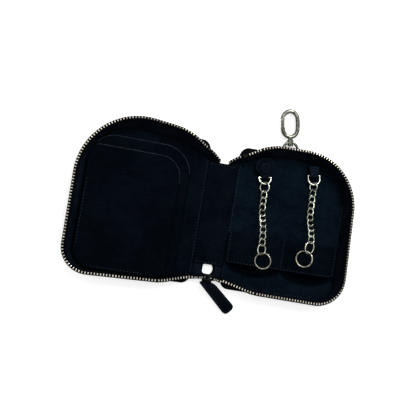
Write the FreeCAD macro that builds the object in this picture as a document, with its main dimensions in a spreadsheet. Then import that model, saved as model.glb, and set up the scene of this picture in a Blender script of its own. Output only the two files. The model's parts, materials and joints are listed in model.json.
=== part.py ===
import FreeCAD, Part
import math
import os
import re

import Sketcher
from FreeCAD import Matrix, Placement, Rotation, Vector

# A zip-around key case, lying open on its back. The origin is the middle of the
# spine on the table, +X runs to the half with the key chains, +Y to the snap hook
# and +Z up. Lengths are millimetres and angles degrees.

doc = FreeCAD.newDocument("key_case")
sheet = doc.addObject("Spreadsheet::Sheet", "dims")

SIZES = {
    # sheet materials, from the table up
    "cover_thick": 1.4,
    "board_thick": 0.8,
    "lining_thick": 0.8,
    "tape_thick": 0.8,
    # the two folds beside the spine
    "fold_x": 10.75,
    "fold_gap": 0.3,
    # outline of one half, measured outwards from its fold
    "panel_width": 84.0,
    "panel_top": 52.0,
    "panel_low": 50.2,
    "neck_top_drop": 11.5,
    "neck_low_drop": 6.6,
    "shoulder_run": 22.3,
    "shoulder_top_drop": 3.0,
    "shoulder_low_drop": 1.3,
    "shoulder_round": 40.0,
    "corner_top_round": 30.0,
    "corner_low_round": 13.5,
    "cover_margin": 1.6,
    "ear_top_rise": 0.3,
    "ear_low_drop": 0.3,
    "ear_round": 6.5,
    "board_inset": 2.0,
    # zip wall: how far its rim leans out past the panel, which differs between the soft halves
    "tape_gap": 0.1,
    "wall_height": 9.6,
    "lean_neck": 4.1,
    "lean_shoulder": 5.5,
    "left_lean_top": 9.5,
    "left_lean_corner": 5.4,
    "left_lean_side": 5.0,
    "left_lean_low": 1.6,
    "left_rim_top_round": 42.0,
    "left_rim_low_round": 17.0,
    "right_lean_top": 4.0,
    "right_lean_corner": 1.2,
    "right_lean_side": 4.6,
    "right_lean_low": 0.4,
    "right_rim_top_round": 38.0,
    "right_rim_low_round": 19.0,
    "dive_top_run": 14.0,
    "dive_top_drop": 4.5,
    "dive_low_run": 24.0,
    "dive_low_drop": 6.5,
    "tooth_pitch": 2.04,
    "tooth_long": 1.2,
    "tooth_wide": 2.0,
    "tooth_tall": 2.2,
    "tooth_seat": 0.26,
    "stop_long": 2.6,
    # spine
    "spine_top_drop": 2.7,
    "spine_low_drop": 9.1,
    "tail_tuck": 4.0,
    "tail_low_drop": 1.0,
    "tail_inner": 4.3,
    "tail_edge": 0.35,
    "tail_top_reach": 2.4,
    # slider, standing on the last teeth of the zip
    "slider_x": 1.2,
    "slider_drop": 0.6,
    "slider_foot": 1.6,
    "slider_tall": 8.0,
    "slider_wide": 6.8,
    "slider_plate": 0.8,
    "slider_mouth": 2.3,
    "slider_post_wide": 1.6,
    "slider_post_tall": 2.6,
    "fin_tall": 4.6,
    "chain_half": 1.8,
    "chain_split": 0.1,
    "tooth_play": 0.15,
    "crown_radius": 2.3,
    "crown_wire": 1.0,
    # zip pull
    "pull_yaw": 48.0,
    "pull_slope": 9.0,
    "pull_length": 23.7,
    "pull_taper": 5.0,
    "pull_top_wide": 4.4,
    "pull_wide": 9.2,
    "pull_thick": 2.2,
    "pull_round": 3.2,
    "pull_shoulder_round": 5.0,
    "loop_wire": 0.8,
    "loop_half_wide": 1.6,
    "loop_corner": 0.5,
    "loop_long": 3.9,
    "loop_play": 0.2,
    "crown_play": 0.35,
    # card pockets on the other half
    "leaf_thick": 0.7,
    "leaf_slot": 0.5,
    "leaf_seam": 3.0,
    "leaf_side_inset": 1.0,
    "leaf_low_inset": 1.6,
    "leaf_neck_inset": 4.6,
    "back_leaf_edge": 12.35,
    "back_leaf_drop": 8.3,
    "back_leaf_round": 20.0,
    "back_leaf_corner": 17.5,
    "front_leaf_edge": 18.85,
    "front_leaf_drop": 16.2,
    "front_leaf_round": 15.0,
    "front_leaf_corner": 7.0,
    # band with two arched loops
    "band_thick": 1.2,
    "band_top": -8.4,
    "band_tall": 22.4,
    "band_start": 0.9,
    "band_seam": 2.6,
    "band_rise": 4.9,
    # key chains: shared lean of their tabs, rings and links
    "chain_lean": 9.0,
    "strap_thick": 1.0,
    "ring_play": 0.15,
    "link_play": 0.2,
    "floor_play": 0.25,
    "d_radius": 4.4,
    "d_wire": 1.1,
    "jump_wire": 0.9,
    "jump_roll": 44.0,
    "link_wire": 0.9,
    "link_half_wide": 2.0,
    "link_half_long": 2.75,
    "link_twist": 0.7,
    "link_count": 9,
    "link_upper": 5,
    "low_roll": -28.0,
    "key_roll": 20.0,
    "key_wire": 1.0,
    "settle_run": 14.0,
    "climb_run": 15.0,
    # chain on the snap tab
    "snap_inset": 19.85,
    "snap_drop": 18.8,
    "snap_leg": 0.6,
    "snap_turn": -4.6,
    "snap_low_turn": 0.0,
    "snap_key_turn": 11.0,
    "snap_jump_radius": 3.6,
    "snap_low_radius": 3.7,
    "snap_key_radius": 5.55,
    "flap_neck": 3.3,
    "flap_half": 7.0,
    "flap_long": 13.6,
    "flap_back": 0.4,
    "flap_step": 2.2,
    "flap_chamfer": 3.2,
    "base_half": 5.0,
    "base_long": 12.6,
    "base_back": 0.9,
    "cap_radius": 4.6,
    "cap_rise": 1.3,
    "cap_place": 6.6,
    "socket_radius": 3.3,
    "socket_tall": 0.8,
    "stud_radius": 1.5,
    "stud_play": 0.35,
    "stud_tall": 1.0,
    # chain on the plain loop
    "loop_inset": 27.95,
    "loop_drop": 11.1,
    "loop_leg": 2.4,
    "loop_turn": -5.5,
    "loop_low_turn": -10.0,
    "loop_key_turn": -11.0,
    "loop_jump_radius": 2.8,
    "loop_low_radius": 4.4,
    "loop_key_radius": 5.7,
    "loop_half": 3.5,
    "loop_tall": 6.6,
    "loop_lip": 0.45,
    # snap hook at the top seam
    "hook_inset": 47.65,
    "hook_z": 2.5,
    "hook_lean": 9.6,
    "eye_radius": 5.4,
    "eye_leg": 1.4,
    "eye_wire": 2.0,
    "eye_collar": 2.3,
    "eye_collar_tall": 3.0,
    "tab_half": 4.1,
    "tab_skin": 0.9,
    "tab_play": 0.1,
    "tab_back": 1.6,
    "post_radius": 1.2,
    "post_play": 0.06,
    "post_head": 1.9,
    "post_head_tall": 1.1,
    "post_end_play": 0.2,
    "neck_radius": 1.7,
    "neck_long": 1.5,
    "ring_half_wide": 5.7,
    "ring_half_long": 9.3,
    "ring_end_radius": 5.5,
    "ring_wire": 3.0,
    "gate_wire": 2.4,
    "gate_low": -3.6,
    "gate_high": 3.9,
    "gate_gap": 0.3,
    "gate_slant": 35.0,
    "gate_eye": 1.45,
    "gate_eye_thick": 1.4,
    "gate_cheek_play": 0.12,
    "gate_pin": 0.5,
    "gate_pin_play": 0.05,
    "spring_radius": 0.4,
    "spring_play": 0.1,
    "spring_long": 3.0,
}

# Places that follow from the sizes
PLACES = {
    "neck_top": "panel_top - neck_top_drop",
    "neck_low": "panel_low - neck_low_drop",
    "shoulder_top": "panel_top - shoulder_top_drop",
    "shoulder_low": "panel_low - shoulder_low_drop",
    "ear_top": "panel_top + ear_top_rise",
    "ear_low": "panel_low - ear_low_drop",
    "spine_top": "neck_top - spine_top_drop",
    "spine_low": "neck_low - spine_low_drop",
    "tail_low": "neck_low - tail_low_drop",
    "slider_y": "slider_drop - neck_low",
    "leaf_side": "panel_width - leaf_side_inset",
    "leaf_low": "panel_low - leaf_low_inset",
    "leaf_neck_low": "panel_low - leaf_neck_inset",
    "back_leaf_top": "panel_top - back_leaf_drop",
    "front_leaf_top": "panel_top - front_leaf_drop",
    "snap_x": "fold_x + snap_inset",
    "snap_y": "panel_top - snap_drop",
    "loop_x": "fold_x + panel_width - loop_inset",
    "loop_y": "panel_top - loop_drop",
    "hook_x": "fold_x + panel_width - hook_inset",
    "hook_y": "panel_top + cover_margin + tab_back",
}

for row, (name, size) in enumerate(SIZES.items(), start=1):
    sheet.set(f"A{row}", name)
    sheet.set(f"B{row}", str(size))
    sheet.setAlias(f"B{row}", name)
doc.recompute()

parts = []
SIDES = {"left": -1, "right": 1}


def cells(text):
    """An expression in plain names, with each size pointing at its cell and each place spelled out."""
    def cell(match):
        name = match.group()
        if name in PLACES:
            return f"({cells(PLACES[name])})"
        return f"dims.{name}" if name in SIZES else name

    return re.sub(r"[a-z_]+", cell, text)


def number(text):
    """What an expression in size names comes to."""
    result = sheet.evalExpression(cells(text))
    return float(getattr(result, "Value", result))


def value(name):
    """A size or place as a number."""
    return number(name)


def bind(item, **sizes):
    """Tie an object's properties to expressions in size names."""
    for key, text in sizes.items():
        item.setExpression(key, cells(text))


def keep(item, label):
    """Name a finished piece."""
    item.Label = label
    parts.append(item)
    return item


def shape_part(label, shape, placement=None):
    """A finished piece from a shape worked out here."""
    item = doc.addObject("Part::Feature", label)
    item.Shape = shape
    if placement:
        item.Placement = placement.multiply(shape.Placement)
    return keep(item, label)


def primitive(kind, name, **sizes):
    """A basic solid with its sizes tied to the sheet."""
    item = doc.addObject(f"Part::{kind}", name)
    bind(item, **sizes)
    return item


def place(item, x="0", y="0", z="0"):
    """Tie an object's place in the case to expressions."""
    for axis, text in zip("xyz", (x, y, z)):
        item.setExpression(f"Placement.Base.{axis}", cells(text))
    return item


def seat(item, frame, x="0", y="0", z="0", turn=Rotation()):
    """Put an object at a place in a tilted frame."""
    item.Placement = frame.multiply(Placement(Vector(number(x), number(y), number(z)), turn))
    return item


def fused(label, pieces):
    item = doc.addObject("Part::MultiFuse", label)
    item.Shapes = pieces
    return item


def less(label, base, tool):
    item = doc.addObject("Part::Cut", label)
    item.Base = base
    item.Tool = tool
    return item


def grouped(label, pieces):
    item = doc.addObject("Part::Compound", label)
    item.Links = pieces
    return item


ALONG_X = Rotation(Vector(0, 1, 0), 90)
ALONG_Y = Rotation(Vector(1, 0, 0), -90)


def rod_x(name, frame, radius, half, y="0"):
    """A round bar across a frame, centred on it."""
    bar = primitive("Cylinder", name, Radius=radius, Height=f"2 * ({half})")
    return seat(bar, frame, f"-({half})", y, "0", ALONG_X)


def rod_y(name, frame, radius, start, long, x="0"):
    """A round bar along a frame's Y."""
    bar = primitive("Cylinder", name, Radius=radius, Height=long)
    return seat(bar, frame, x, start, "0", ALONG_Y)


def d_shape(name, frame, radius, leg, wire):
    """Bar across a frame, two legs and a half round at their ends, running along +Y."""
    pieces = [rod_x(f"{name}_bar", frame, f"{wire} / 2", radius)]
    for sign in (-1, 1):
        pieces.append(rod_y(f"{name}_leg", frame, f"{wire} / 2", "0", leg, f"{sign} * {radius}"))
        corner = primitive("Sphere", f"{name}_corner", Radius=f"{wire} / 2")
        pieces.append(seat(corner, frame, f"{sign} * {radius}"))
    bow = primitive("Torus", f"{name}_bow", Radius1=radius, Radius2=f"{wire} / 2")
    bow.Angle3 = 180
    pieces.append(seat(bow, frame, "0", leg))
    return pieces


STACK = "cover_thick + board_thick + lining_thick"


# Flat pieces, cut from sheet

def outline_sketch(body, corners):
    """A closed straight-sided outline whose corners are expressions."""
    sketch = body.newObject("Sketcher::SketchObject", body.Name + "_outline")
    support = [f for f in body.Origin.OriginFeatures if f.Role == "XY_Plane"][0]
    sketch.AttachmentSupport = (support, [""])
    sketch.MapMode = "FlatFace"
    points = [Vector(number(x), number(y), 0) for x, y in corners]
    count = len(points)
    for i in range(count):
        sketch.addGeometry(Part.LineSegment(points[i], points[(i + 1) % count]))
    for i in range(count):
        sketch.addConstraint(Sketcher.Constraint("Coincident", i, 2, (i + 1) % count, 1))
    for i, pair in enumerate(corners):
        for kind, text in zip(("DistanceX", "DistanceY"), pair):
            index = sketch.addConstraint(Sketcher.Constraint(kind, -1, 1, i, 1, number(text)))
            sketch.setExpression(f"Constraints[{index}]", cells(text))
    return sketch


def round_corner(body, corner, radius):
    """Round the upright edge that stands at one corner of the outline."""
    x, y = number(corner[0]), number(corner[1])
    base = body.Tip

    def at_corner(edge):
        return all(math.hypot(v.X - x, v.Y - y) < 1e-4 for v in edge.Vertexes)

    names = [f"Edge{i}" for i, e in enumerate(base.Shape.Edges, start=1) if at_corner(e)]
    fillet = body.newObject("PartDesign::Fillet", body.Name + "_round")
    fillet.Base = (base, names)
    bind(fillet, Radius=radius)
    doc.recompute()


def plate(label, corners, thick, rounds):
    """A flat piece: its outline, its thickness and the radii of its rounded corners."""
    body = doc.addObject("PartDesign::Body", label)
    pad = body.newObject("PartDesign::Pad", label + "_pad")
    pad.Profile = outline_sketch(body, corners)
    bind(pad, Length=thick)
    doc.recompute()
    for index, radius in rounds.items():
        round_corner(body, corners[index], radius)
    return body


def layer(label, corners, height, thick, rounds):
    """A flat piece of the case with its underside at a height above the table."""
    body = plate(label, corners, thick, rounds)
    place(body, z=height)
    return keep(body, label)


def from_fold(side, corners):
    """Corners measured from a half's fold, as corners in the case's frame."""
    return [(f"{SIDES[side]} * (fold_x + {u})", y) for u, y in corners]


PANEL = [
    ("fold_gap / 2", "neck_top"),
    ("shoulder_run", "shoulder_top"),
    ("panel_width", "panel_top"),
    ("panel_width", "-panel_low"),
    ("shoulder_run", "-shoulder_low"),
    ("fold_gap / 2", "-neck_low"),
]
PANEL_ROUNDS = {1: "shoulder_round", 2: "corner_top_round", 3: "corner_low_round", 4: "shoulder_round"}
COVER = [
    ("fold_gap / 2", "ear_top"),
    ("panel_width + cover_margin", "panel_top + cover_margin"),
    ("panel_width + cover_margin", "-panel_low - cover_margin"),
    ("fold_gap / 2", "-ear_low"),
]
COVER_ROUNDS = {0: "ear_round", 1: "corner_top_round + cover_margin",
                2: "corner_low_round + cover_margin", 3: "ear_round"}
BOARD = [
    ("board_inset", "neck_top - board_inset"),
    ("shoulder_run", "shoulder_top - board_inset"),
    ("panel_width - board_inset", "panel_top - board_inset"),
    ("panel_width - board_inset", "board_inset - panel_low"),
    ("shoulder_run", "board_inset - shoulder_low"),
    ("board_inset", "board_inset - neck_low"),
]


def half_shell(side):
    """Outer leather, stiffening board and suede lining of one half."""
    layer(f"cover_{side}", from_fold(side, COVER), "0", "cover_thick", COVER_ROUNDS)
    layer(f"stiffener_{side}", from_fold(side, BOARD), "cover_thick", "board_thick", PANEL_ROUNDS)
    layer(f"lining_{side}", from_fold(side, PANEL), "cover_thick + board_thick", "lining_thick", PANEL_ROUNDS)


def across(half_width, low, high):
    """A rectangle centred on the spine."""
    return [(half_width, high), (half_width, low), (f"-({half_width})", low), (f"-({half_width})", high)]


def spine():
    """Three layers of the spine, the board short enough for the zip tails."""
    whole = across("fold_x - fold_gap / 2", "-spine_low", "spine_top")
    tail = "tail_tuck + tape_gap"
    board = across("fold_x - board_inset", f"{tail} - spine_low", f"spine_top - ({tail})")
    layer("spine_cover", whole, "0", "cover_thick", {})
    layer("spine_stiffener", board, "cover_thick", "board_thick", {})
    layer("spine_lining", whole, "cover_thick + board_thick", "lining_thick", {})


# Card pockets: each leaf is sewn down along its low and outer sides

def card_pocket(leaf, height):
    label = f"card_pocket_{leaf}"
    edge, top = f"{leaf}_leaf_edge", f"{leaf}_leaf_top"
    corners = from_fold("left", [(edge, top), ("leaf_side", top), ("leaf_side", "-leaf_low"),
                                 ("shoulder_run + leaf_seam", "-leaf_low"), (edge, "-leaf_neck_low")])
    body = layer(label, corners, height, "leaf_slot + leaf_thick",
                 {0: f"{leaf}_leaf_round", 1: f"{leaf}_leaf_corner", 2: "corner_low_round"})
    slot = body.newObject("PartDesign::Pocket", label + "_slot")
    slot.Profile = outline_sketch(body, from_fold("left", [
        (f"{edge} - leaf_seam", f"{top} + leaf_seam"),
        ("leaf_side - leaf_seam", f"{top} + leaf_seam"),
        ("leaf_side - leaf_seam", "leaf_seam - leaf_neck_low"),
        (f"{edge} - leaf_seam", "leaf_seam - leaf_neck_low")]))
    slot.Reversed = True
    bind(slot, Length="leaf_slot")
    solid_volume = slot.BaseFeature.Shape.Volume
    doc.recompute()
    assert slot.Shape.Volume < solid_volume, f"{label} has no slot"


# Key band: a strip sewn down at both ends and in the middle

def arc_edge(start, middle, end):
    return Part.Arc(start, middle, end).toShape()


def key_band():
    seam = value("band_seam")
    thick = value("band_thick")
    rise = value("band_rise")
    left = value("fold_x") + value("band_start")
    right = value("fold_x") + value("panel_width") - value("band_start")
    middle = (left + right) / 2
    spans = [(left + seam, middle - seam / 2), (middle + seam / 2, right - seam)]

    def chain_of(points_z, arch):
        edges = []
        x = left
        for start, end in spans:
            edges.append(Part.makeLine(Vector(x, 0, points_z), Vector(start, 0, points_z)))
            edges.append(arc_edge(Vector(start, 0, points_z), Vector((start + end) / 2, 0, points_z + arch),
                                  Vector(end, 0, points_z)))
            x = end
        edges.append(Part.makeLine(Vector(x, 0, points_z), Vector(right, 0, points_z)))
        return edges

    ends = [Part.makeLine(Vector(x, 0, 0), Vector(x, 0, thick)) for x in (left, right)]
    outline = Part.Wire(Part.__sortEdges__(chain_of(0, rise) + chain_of(thick, rise) + ends))
    band = Part.Face(outline).extrude(Vector(0, value("band_tall"), 0))
    foot = Vector(0, value("band_top") - value("band_tall"), number(STACK))
    shape_part("key_band", band, Placement(foot, Rotation()))


# Zip wall: a tape standing on the cover's margin, leaning outwards to its teeth

def rim_outline(side):
    """Corners of the wall's rim and the radii they are rounded to."""
    top, corner, outer, low = [f"{side}_lean_{place}" for place in ("top", "corner", "side", "low")]
    corners = [
        ("fold_gap / 2 - tape_thick", "neck_top + lean_neck"),
        ("shoulder_run", "shoulder_top + lean_shoulder"),
        (f"panel_width + {corner}", f"panel_top + {top}"),
        (f"panel_width + {outer}", f"-panel_low - {low}"),
        ("shoulder_run", f"-shoulder_low - {low} / 2"),
        ("fold_gap / 2 - tape_thick", f"-neck_low - {low} / 4"),
    ]
    rounds = {1: "shoulder_round", 2: f"{side}_rim_top_round", 3: f"{side}_rim_low_round",
              4: "shoulder_round"}
    return corners, rounds


def shifted(points, distance):
    """A straight-sided outline moved outwards by a distance."""
    count = len(points)
    area = sum(points[i].x * points[(i + 1) % count].y - points[(i + 1) % count].x * points[i].y
               for i in range(count))
    turn = 1 if area > 0 else -1
    moved = []
    for i, point in enumerate(points):
        before = (point - points[i - 1]).normalize()
        after = (points[(i + 1) % count] - point).normalize()
        out_before = Vector(before.y, -before.x, 0) * turn
        out_after = Vector(after.y, -after.x, 0) * turn
        moved.append(point + (out_before + out_after) * (distance / (1 + out_before.dot(out_after))))
    return moved


def rounded_edges(points, radii, height):
    """Lines and tangent arcs of an outline whose corners are rounded."""
    count = len(points)
    starts, ends, middles = list(points), list(points), [None] * count
    for i, radius in radii.items():
        back = (points[i - 1] - points[i]).normalize()
        ahead = (points[(i + 1) % count] - points[i]).normalize()
        half = back.getAngle(ahead) / 2
        reach = radius / math.tan(half)
        inward = (back + ahead).normalize()
        starts[i] = points[i] + back * reach
        ends[i] = points[i] + ahead * reach
        middles[i] = points[i] + inward * (radius / math.sin(half) - radius)
    raised = Vector(0, 0, height)
    edges = []
    for i in range(count):
        if middles[i]:
            edges.append(arc_edge(starts[i] + raised, middles[i] + raised, ends[i] + raised))
        edges.append(Part.makeLine(ends[i] + raised, starts[(i + 1) % count] + raised))
    return edges


def wall_edges(side, corners, rounds, offset, height):
    """Edges of one outline of the zip wall."""
    points = [Vector(number(x), number(y), 0) for x, y in from_fold(side, corners)]
    radii = {i: number(text) + offset for i, text in rounds.items()}
    return rounded_edges(shifted(points, offset), radii, height)


def dive_limits(y):
    """Length and depth of the dip of the rim at the end of the zip beside a point."""
    end = "top" if y > 0 else "low"
    return value(f"dive_{end}_run"), value(f"dive_{end}_drop")


def dive_block(side, y_direction):
    """What is cut off the wall where its rim dips towards the spine."""
    run, drop = dive_limits(y_direction)
    foot = value("cover_thick")
    top = foot + value("wall_height")
    fold = value("fold_x") * SIDES[side]
    corners = [(-run, top - 2 * drop), (run, top), (run, top + drop), (-run, top + drop)]
    points = [Vector(fold + SIDES[side] * u, 0, z) for u, z in corners]
    face = Part.Face(Part.makePolygon(points + points[:1]))
    return face.extrude(Vector(0, 2 * value("panel_top") * y_direction, 0))


def zip_tape(side):
    """The tape's wall, with its rim dipping at both ends."""
    foot = value("cover_thick")
    top = foot + value("wall_height")
    inner = value("tape_gap")
    outer = inner + value("tape_thick")
    half = value("tape_thick") / 2
    outside = [Part.Wire(wall_edges(side, PANEL, PANEL_ROUNDS, outer, foot)),
               Part.Wire(wall_edges(side, *rim_outline(side), half, top))]
    inside = [Part.Wire(wall_edges(side, PANEL, PANEL_ROUNDS, inner, foot)),
              Part.Wire(wall_edges(side, *rim_outline(side), -half, top))]
    wall = Part.makeLoft(outside, True, True).cut(Part.makeLoft(inside, True, True))
    reach = value("panel_top") * 2
    edge = value("fold_x") + value("fold_gap")
    spine_side = Part.makeBox(2 * edge, 2 * reach, reach, Vector(-edge, -reach, 0))
    wall = wall.cut(spine_side).cut(dive_block(side, 1)).cut(dive_block(side, -1))
    shape_part(f"zip_tape_{side}", wall)


def rim_points(side, samples=40):
    """Points along the wall's rim from the top of the spine to its foot, each with the wall's slope."""
    foot = value("cover_thick")
    tall = value("wall_height")
    low = wall_edges(side, PANEL, PANEL_ROUNDS, value("tape_gap") + value("tape_thick") / 2, foot)
    high = wall_edges(side, *rim_outline(side), 0, foot + tall)
    start = value("fold_x") + value("fold_gap") + value("tooth_long")
    path = []
    for below, above in list(zip(low, high))[:-1]:
        for k in range(samples):
            bottom, rim = [e.valueAt(e.FirstParameter + (e.LastParameter - e.FirstParameter) * k / samples)
                           for e in (below, above)]
            run, drop = dive_limits(rim.y)
            fall = drop / run
            inset = abs(bottom.x) - value("fold_x")
            share = (tall - drop + fall * inset) / (tall - fall * (abs(rim.x) - abs(bottom.x)))
            point = bottom + (rim - bottom) * min(1.0, share)
            if abs(point.x) >= start:
                path.append((point, (rim - bottom).normalize()))
    return path


def block_on(point, along, up, long, wide, tall, seat):
    """A block standing on the wall's rim."""
    side = along.cross(up).normalize()
    up = side.cross(along).normalize()
    block = Part.makeBox(long, wide, tall, Vector(-long / 2, -wide / 2, seat))
    frame = Matrix(along.x, side.x, up.x, point.x, along.y, side.y, up.y, point.y,
                   along.z, side.z, up.z, point.z, 0, 0, 0, 1)
    return block.transformed(frame)


def zip_teeth(side):
    """Teeth at an even pitch along the rim, and the stop at the upper end of the row."""
    path = rim_points(side)
    pitch = value("tooth_pitch")
    wide, tall, seat = value("tooth_wide"), value("tooth_tall"), value("tooth_seat")
    travelled, due = 0.0, value("stop_long") + pitch
    teeth = []
    for (here, up), (following, _) in zip(path, path[1:]):
        step = following - here
        along = Vector(step).normalize()
        while due <= travelled + step.Length:
            teeth.append(block_on(here + along * (due - travelled), along, up, value("tooth_long"), wide,
                                  tall, seat))
            due += pitch
        travelled += step.Length
    shape_part(f"zip_teeth_{side}", Part.makeCompound(teeth))
    first, up = path[0]
    along = (path[1][0] - first).normalize()
    stop = block_on(first + along * (value("stop_long") / 2), along, up, value("stop_long"), wide, tall, seat)
    shape_part(f"top_stop_{side}", stop)


# End of the zip on the spine: tape tails, the last closed teeth, the stop and the slider

def tail_box(name, near, far, low, high, height):
    """A flat stretch of tape beside the zip's end."""
    left, right = sorted((near, far), key=number)
    item = primitive("Box", name, Length=f"{right} - ({left})", Width=f"{high} - ({low})", Height=height)
    return place(item, left, low, "cover_thick")


def zip_end():
    """Tails of the tape on the spine, the last closed teeth and the stop under them."""
    tails = []
    for sign in (-1, 1):
        inner = f"slider_x + {sign} * tail_inner"
        outer = f"{sign} * (fold_x - tail_edge)"
        flat = tail_box("tail_flat", inner, outer, "-tail_low", "tail_tuck - spine_low", "tape_thick")
        fin = tail_box("tail_fin", f"slider_x + {sign} * chain_half", f"{inner} + {sign} * tape_thick",
                       "slider_y - tape_thick / 2", "slider_y + tape_thick / 2", "fin_tall")
        tails.append(fused("tail_low", [flat, fin]))
        tails.append(tail_box("tail_top", f"{sign} * tail_inner", outer, "spine_top - tail_tuck",
                              "spine_top + tail_top_reach", "tape_thick"))
    keep(grouped("zip_end_tapes", tails), "zip_end_tapes")
    half = "(chain_half - tooth_seat)"
    front = "slider_y - slider_mouth / 2 + tooth_play"
    teeth = []
    for k in range(int(number("2 * fin_tall / tooth_pitch"))):
        start = "slider_x + chain_split" if k % 2 else f"slider_x - {half}"
        tooth = primitive("Box", "end_tooth", Length=f"{half} - chain_split",
                          Width="slider_mouth - 2 * tooth_play", Height="tooth_long")
        teeth.append(place(tooth, start, front, f"cover_thick + {k} * tooth_pitch / 2"))
    keep(grouped("zip_end_teeth", teeth), "zip_end_teeth")
    stop = primitive("Box", "zip_bottom_stop", Length=f"2 * {half}", Width="slider_mouth",
                     Height="cover_thick - tooth_play")
    place(stop, f"slider_x - {half}", "slider_y - slider_mouth / 2", "tooth_play / 2")
    keep(stop, "zip_bottom_stop")


def zip_slider():
    """Two plates joined by a post, with the crown that carries the pull."""
    pieces = []
    for y in ("slider_y - slider_mouth / 2 - slider_plate", "slider_y + slider_mouth / 2"):
        item = primitive("Box", "slider_cheek", Length="slider_wide", Width="slider_plate",
                         Height="slider_tall")
        pieces.append(place(item, "slider_x - slider_wide / 2", y, "slider_foot"))
    front = "slider_y - slider_mouth / 2 - slider_plate / 2"
    post = primitive("Box", "slider_post", Length="slider_post_wide", Width="slider_mouth + slider_plate",
                     Height="slider_post_tall")
    pieces.append(place(post, "slider_x - slider_post_wide / 2", front,
                        "slider_foot + slider_tall - slider_post_tall"))
    crown = primitive("Torus", "slider_crown", Radius1="crown_radius", Radius2="crown_wire / 2")
    crown.Angle3 = 180
    crown.Placement.Rotation = Rotation(Vector(0, 0, 1), Vector(0, -1, 0), Vector(1, 0, 0), "ZXY")
    pieces.append(place(crown, "slider_x", front, "slider_foot + slider_tall / 2"))
    keep(fused("zip_slider", pieces), "zip_slider")


def pull_frame():
    """Frame of the pull: the middle of the crown's wire, with -Y running out along the pull."""
    apex = Vector(value("slider_x"),
                  value("slider_y") - number("slider_mouth / 2 + slider_plate / 2 + crown_radius"),
                  value("slider_foot") + value("slider_tall") / 2)
    yaw = Rotation(Vector(0, 0, 1), value("pull_yaw"))
    return Placement(apex, yaw.multiply(Rotation(Vector(1, 0, 0), value("pull_slope"))))


def swept_wire(edges, diameter):
    """A round wire bent along lines and tangent arcs; a closed one is bent in two halves."""
    first = edges[0].valueAt(edges[0].FirstParameter)
    last = edges[-1].valueAt(edges[-1].LastParameter)
    closed = first.isEqual(last, 1e-6)
    middle = len(edges) // 2
    runs = [edges[:middle], edges[middle:]] if closed else [edges]
    bends = []
    for run in runs:
        start = run[0].valueAt(run[0].FirstParameter)
        tangent = run[0].tangentAt(run[0].FirstParameter)
        section = Part.Wire(Part.makeCircle(diameter / 2, start, tangent))
        bends.append(Part.Wire(run).makePipeShell([section], True, False))
    return bends[0].fuse(bends[1:]).removeSplitter() if closed else bends[0]


PULL_BAR = "(crown_wire / 2 + loop_wire / 2 + crown_play - loop_long)"


def zip_pull():
    """A wire loop through the crown and the leather tab folded round its far bar."""
    frame = pull_frame()
    half, corner = value("loop_half_wide"), value("loop_corner")
    far = number(PULL_BAR)
    near = far + value("loop_long")
    cut = corner * (1 - math.sqrt(0.5))

    def turn(sign):
        ends = [Vector(sign * half, far + corner, 0), Vector(sign * (half - cut), far + cut, 0),
                Vector(sign * (half - corner), far, 0)]
        return ends if sign > 0 else ends[::-1]

    right, left = turn(1), turn(-1)
    top = [Vector(sign * half, near - half, 0) for sign in (1, -1)]
    edges = [Part.makeLine(top[0], right[0]), arc_edge(*right), Part.makeLine(right[2], left[0]),
             arc_edge(*left), Part.makeLine(left[2], top[1]), arc_edge(top[1], Vector(0, near, 0), top[0])]
    shape_part("pull_link", swept_wire(edges, value("loop_wire")), frame)
    start = f"({PULL_BAR} - pull_thick / 2 - loop_play)"
    neck = "(loop_half_wide - loop_corner - loop_play)"
    side = [("pull_top_wide / 2", start), ("pull_wide / 2", f"{start} - pull_taper"),
            ("pull_wide / 2", f"{start} - pull_length")]
    corners = side + [(f"-{x}", y) for x, y in reversed(side)]
    rounds = {1: "pull_shoulder_round", 2: "pull_round", 3: "pull_round", 4: "pull_shoulder_round"}
    tongue = plate("pull_tongue", corners, "pull_thick", rounds)
    seat(tongue, frame, z="-pull_thick / 2")
    fold = rod_x("pull_fold", frame, "pull_thick / 2", neck, PULL_BAR)
    web = primitive("Box", "pull_web", Length=f"2 * {neck}", Width=f"{PULL_BAR} - {start}",
                    Height="pull_thick")
    seat(web, frame, f"-{neck}", start, "-pull_thick / 2")
    room = rod_x("pull_room", frame, "loop_wire / 2 + loop_play", neck, PULL_BAR)
    keep(less("pull_tab", fused("pull_leather", [tongue, fold, web]), room), "pull_tab")


# Key chains. Each is laid out in its own frame: the bar of its D ring lies along X
# at the origin's height, the chain runs towards -Y and leans with the frame.

UNDER_BAR = "strap_thick + ring_play + d_wire / 2"
BAR = f"{STACK} + {UNDER_BAR}"


def biarc(start, leave, end, arrive):
    """Two tangent arcs from one point and direction to another."""
    gap = end - start
    both = leave + arrive
    squared = 2 * (1 - leave.dot(arrive))
    reach = (-gap.dot(both) + math.sqrt(gap.dot(both) ** 2 + squared * gap.dot(gap))) / squared
    join = (start + leave * reach + end - arrive * reach) * 0.5
    return [arc_edge(start, arc_middle(start, leave, join), join),
            arc_edge(join, arc_middle(end, arrive * -1, join), end)]


def arc_middle(start, leave, end):
    """Middle of the arc that leaves a point in a given direction and ends at another."""
    chord = end - start
    along = Vector(chord).normalize()
    bulge = (leave - along * leave.dot(along)).normalize()
    return start + chord * 0.5 + bulge * (chord.Length / 2 * math.tan(leave.getAngle(along) / 2))


def chain_link():
    """One twisted curb link about the origin, its ends pointing along Y."""
    wide, long, twist = value("link_half_wide"), value("link_half_long"), value("link_twist")

    def at(turn):
        return Vector(wide * math.cos(turn), long * math.sin(turn), -twist * math.sin(2 * turn))

    def heading(turn):
        slope = -2 * twist * math.cos(2 * turn)
        return Vector(-wide * math.sin(turn), long * math.cos(turn), slope).normalize()

    turns = [math.pi / 4 * k for k in range(9)]
    edges = []
    for a, b in zip(turns, turns[1:]):
        edges += biarc(at(a), heading(a), at(b), heading(b))
    return swept_wire(edges, value("link_wire"))


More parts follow.
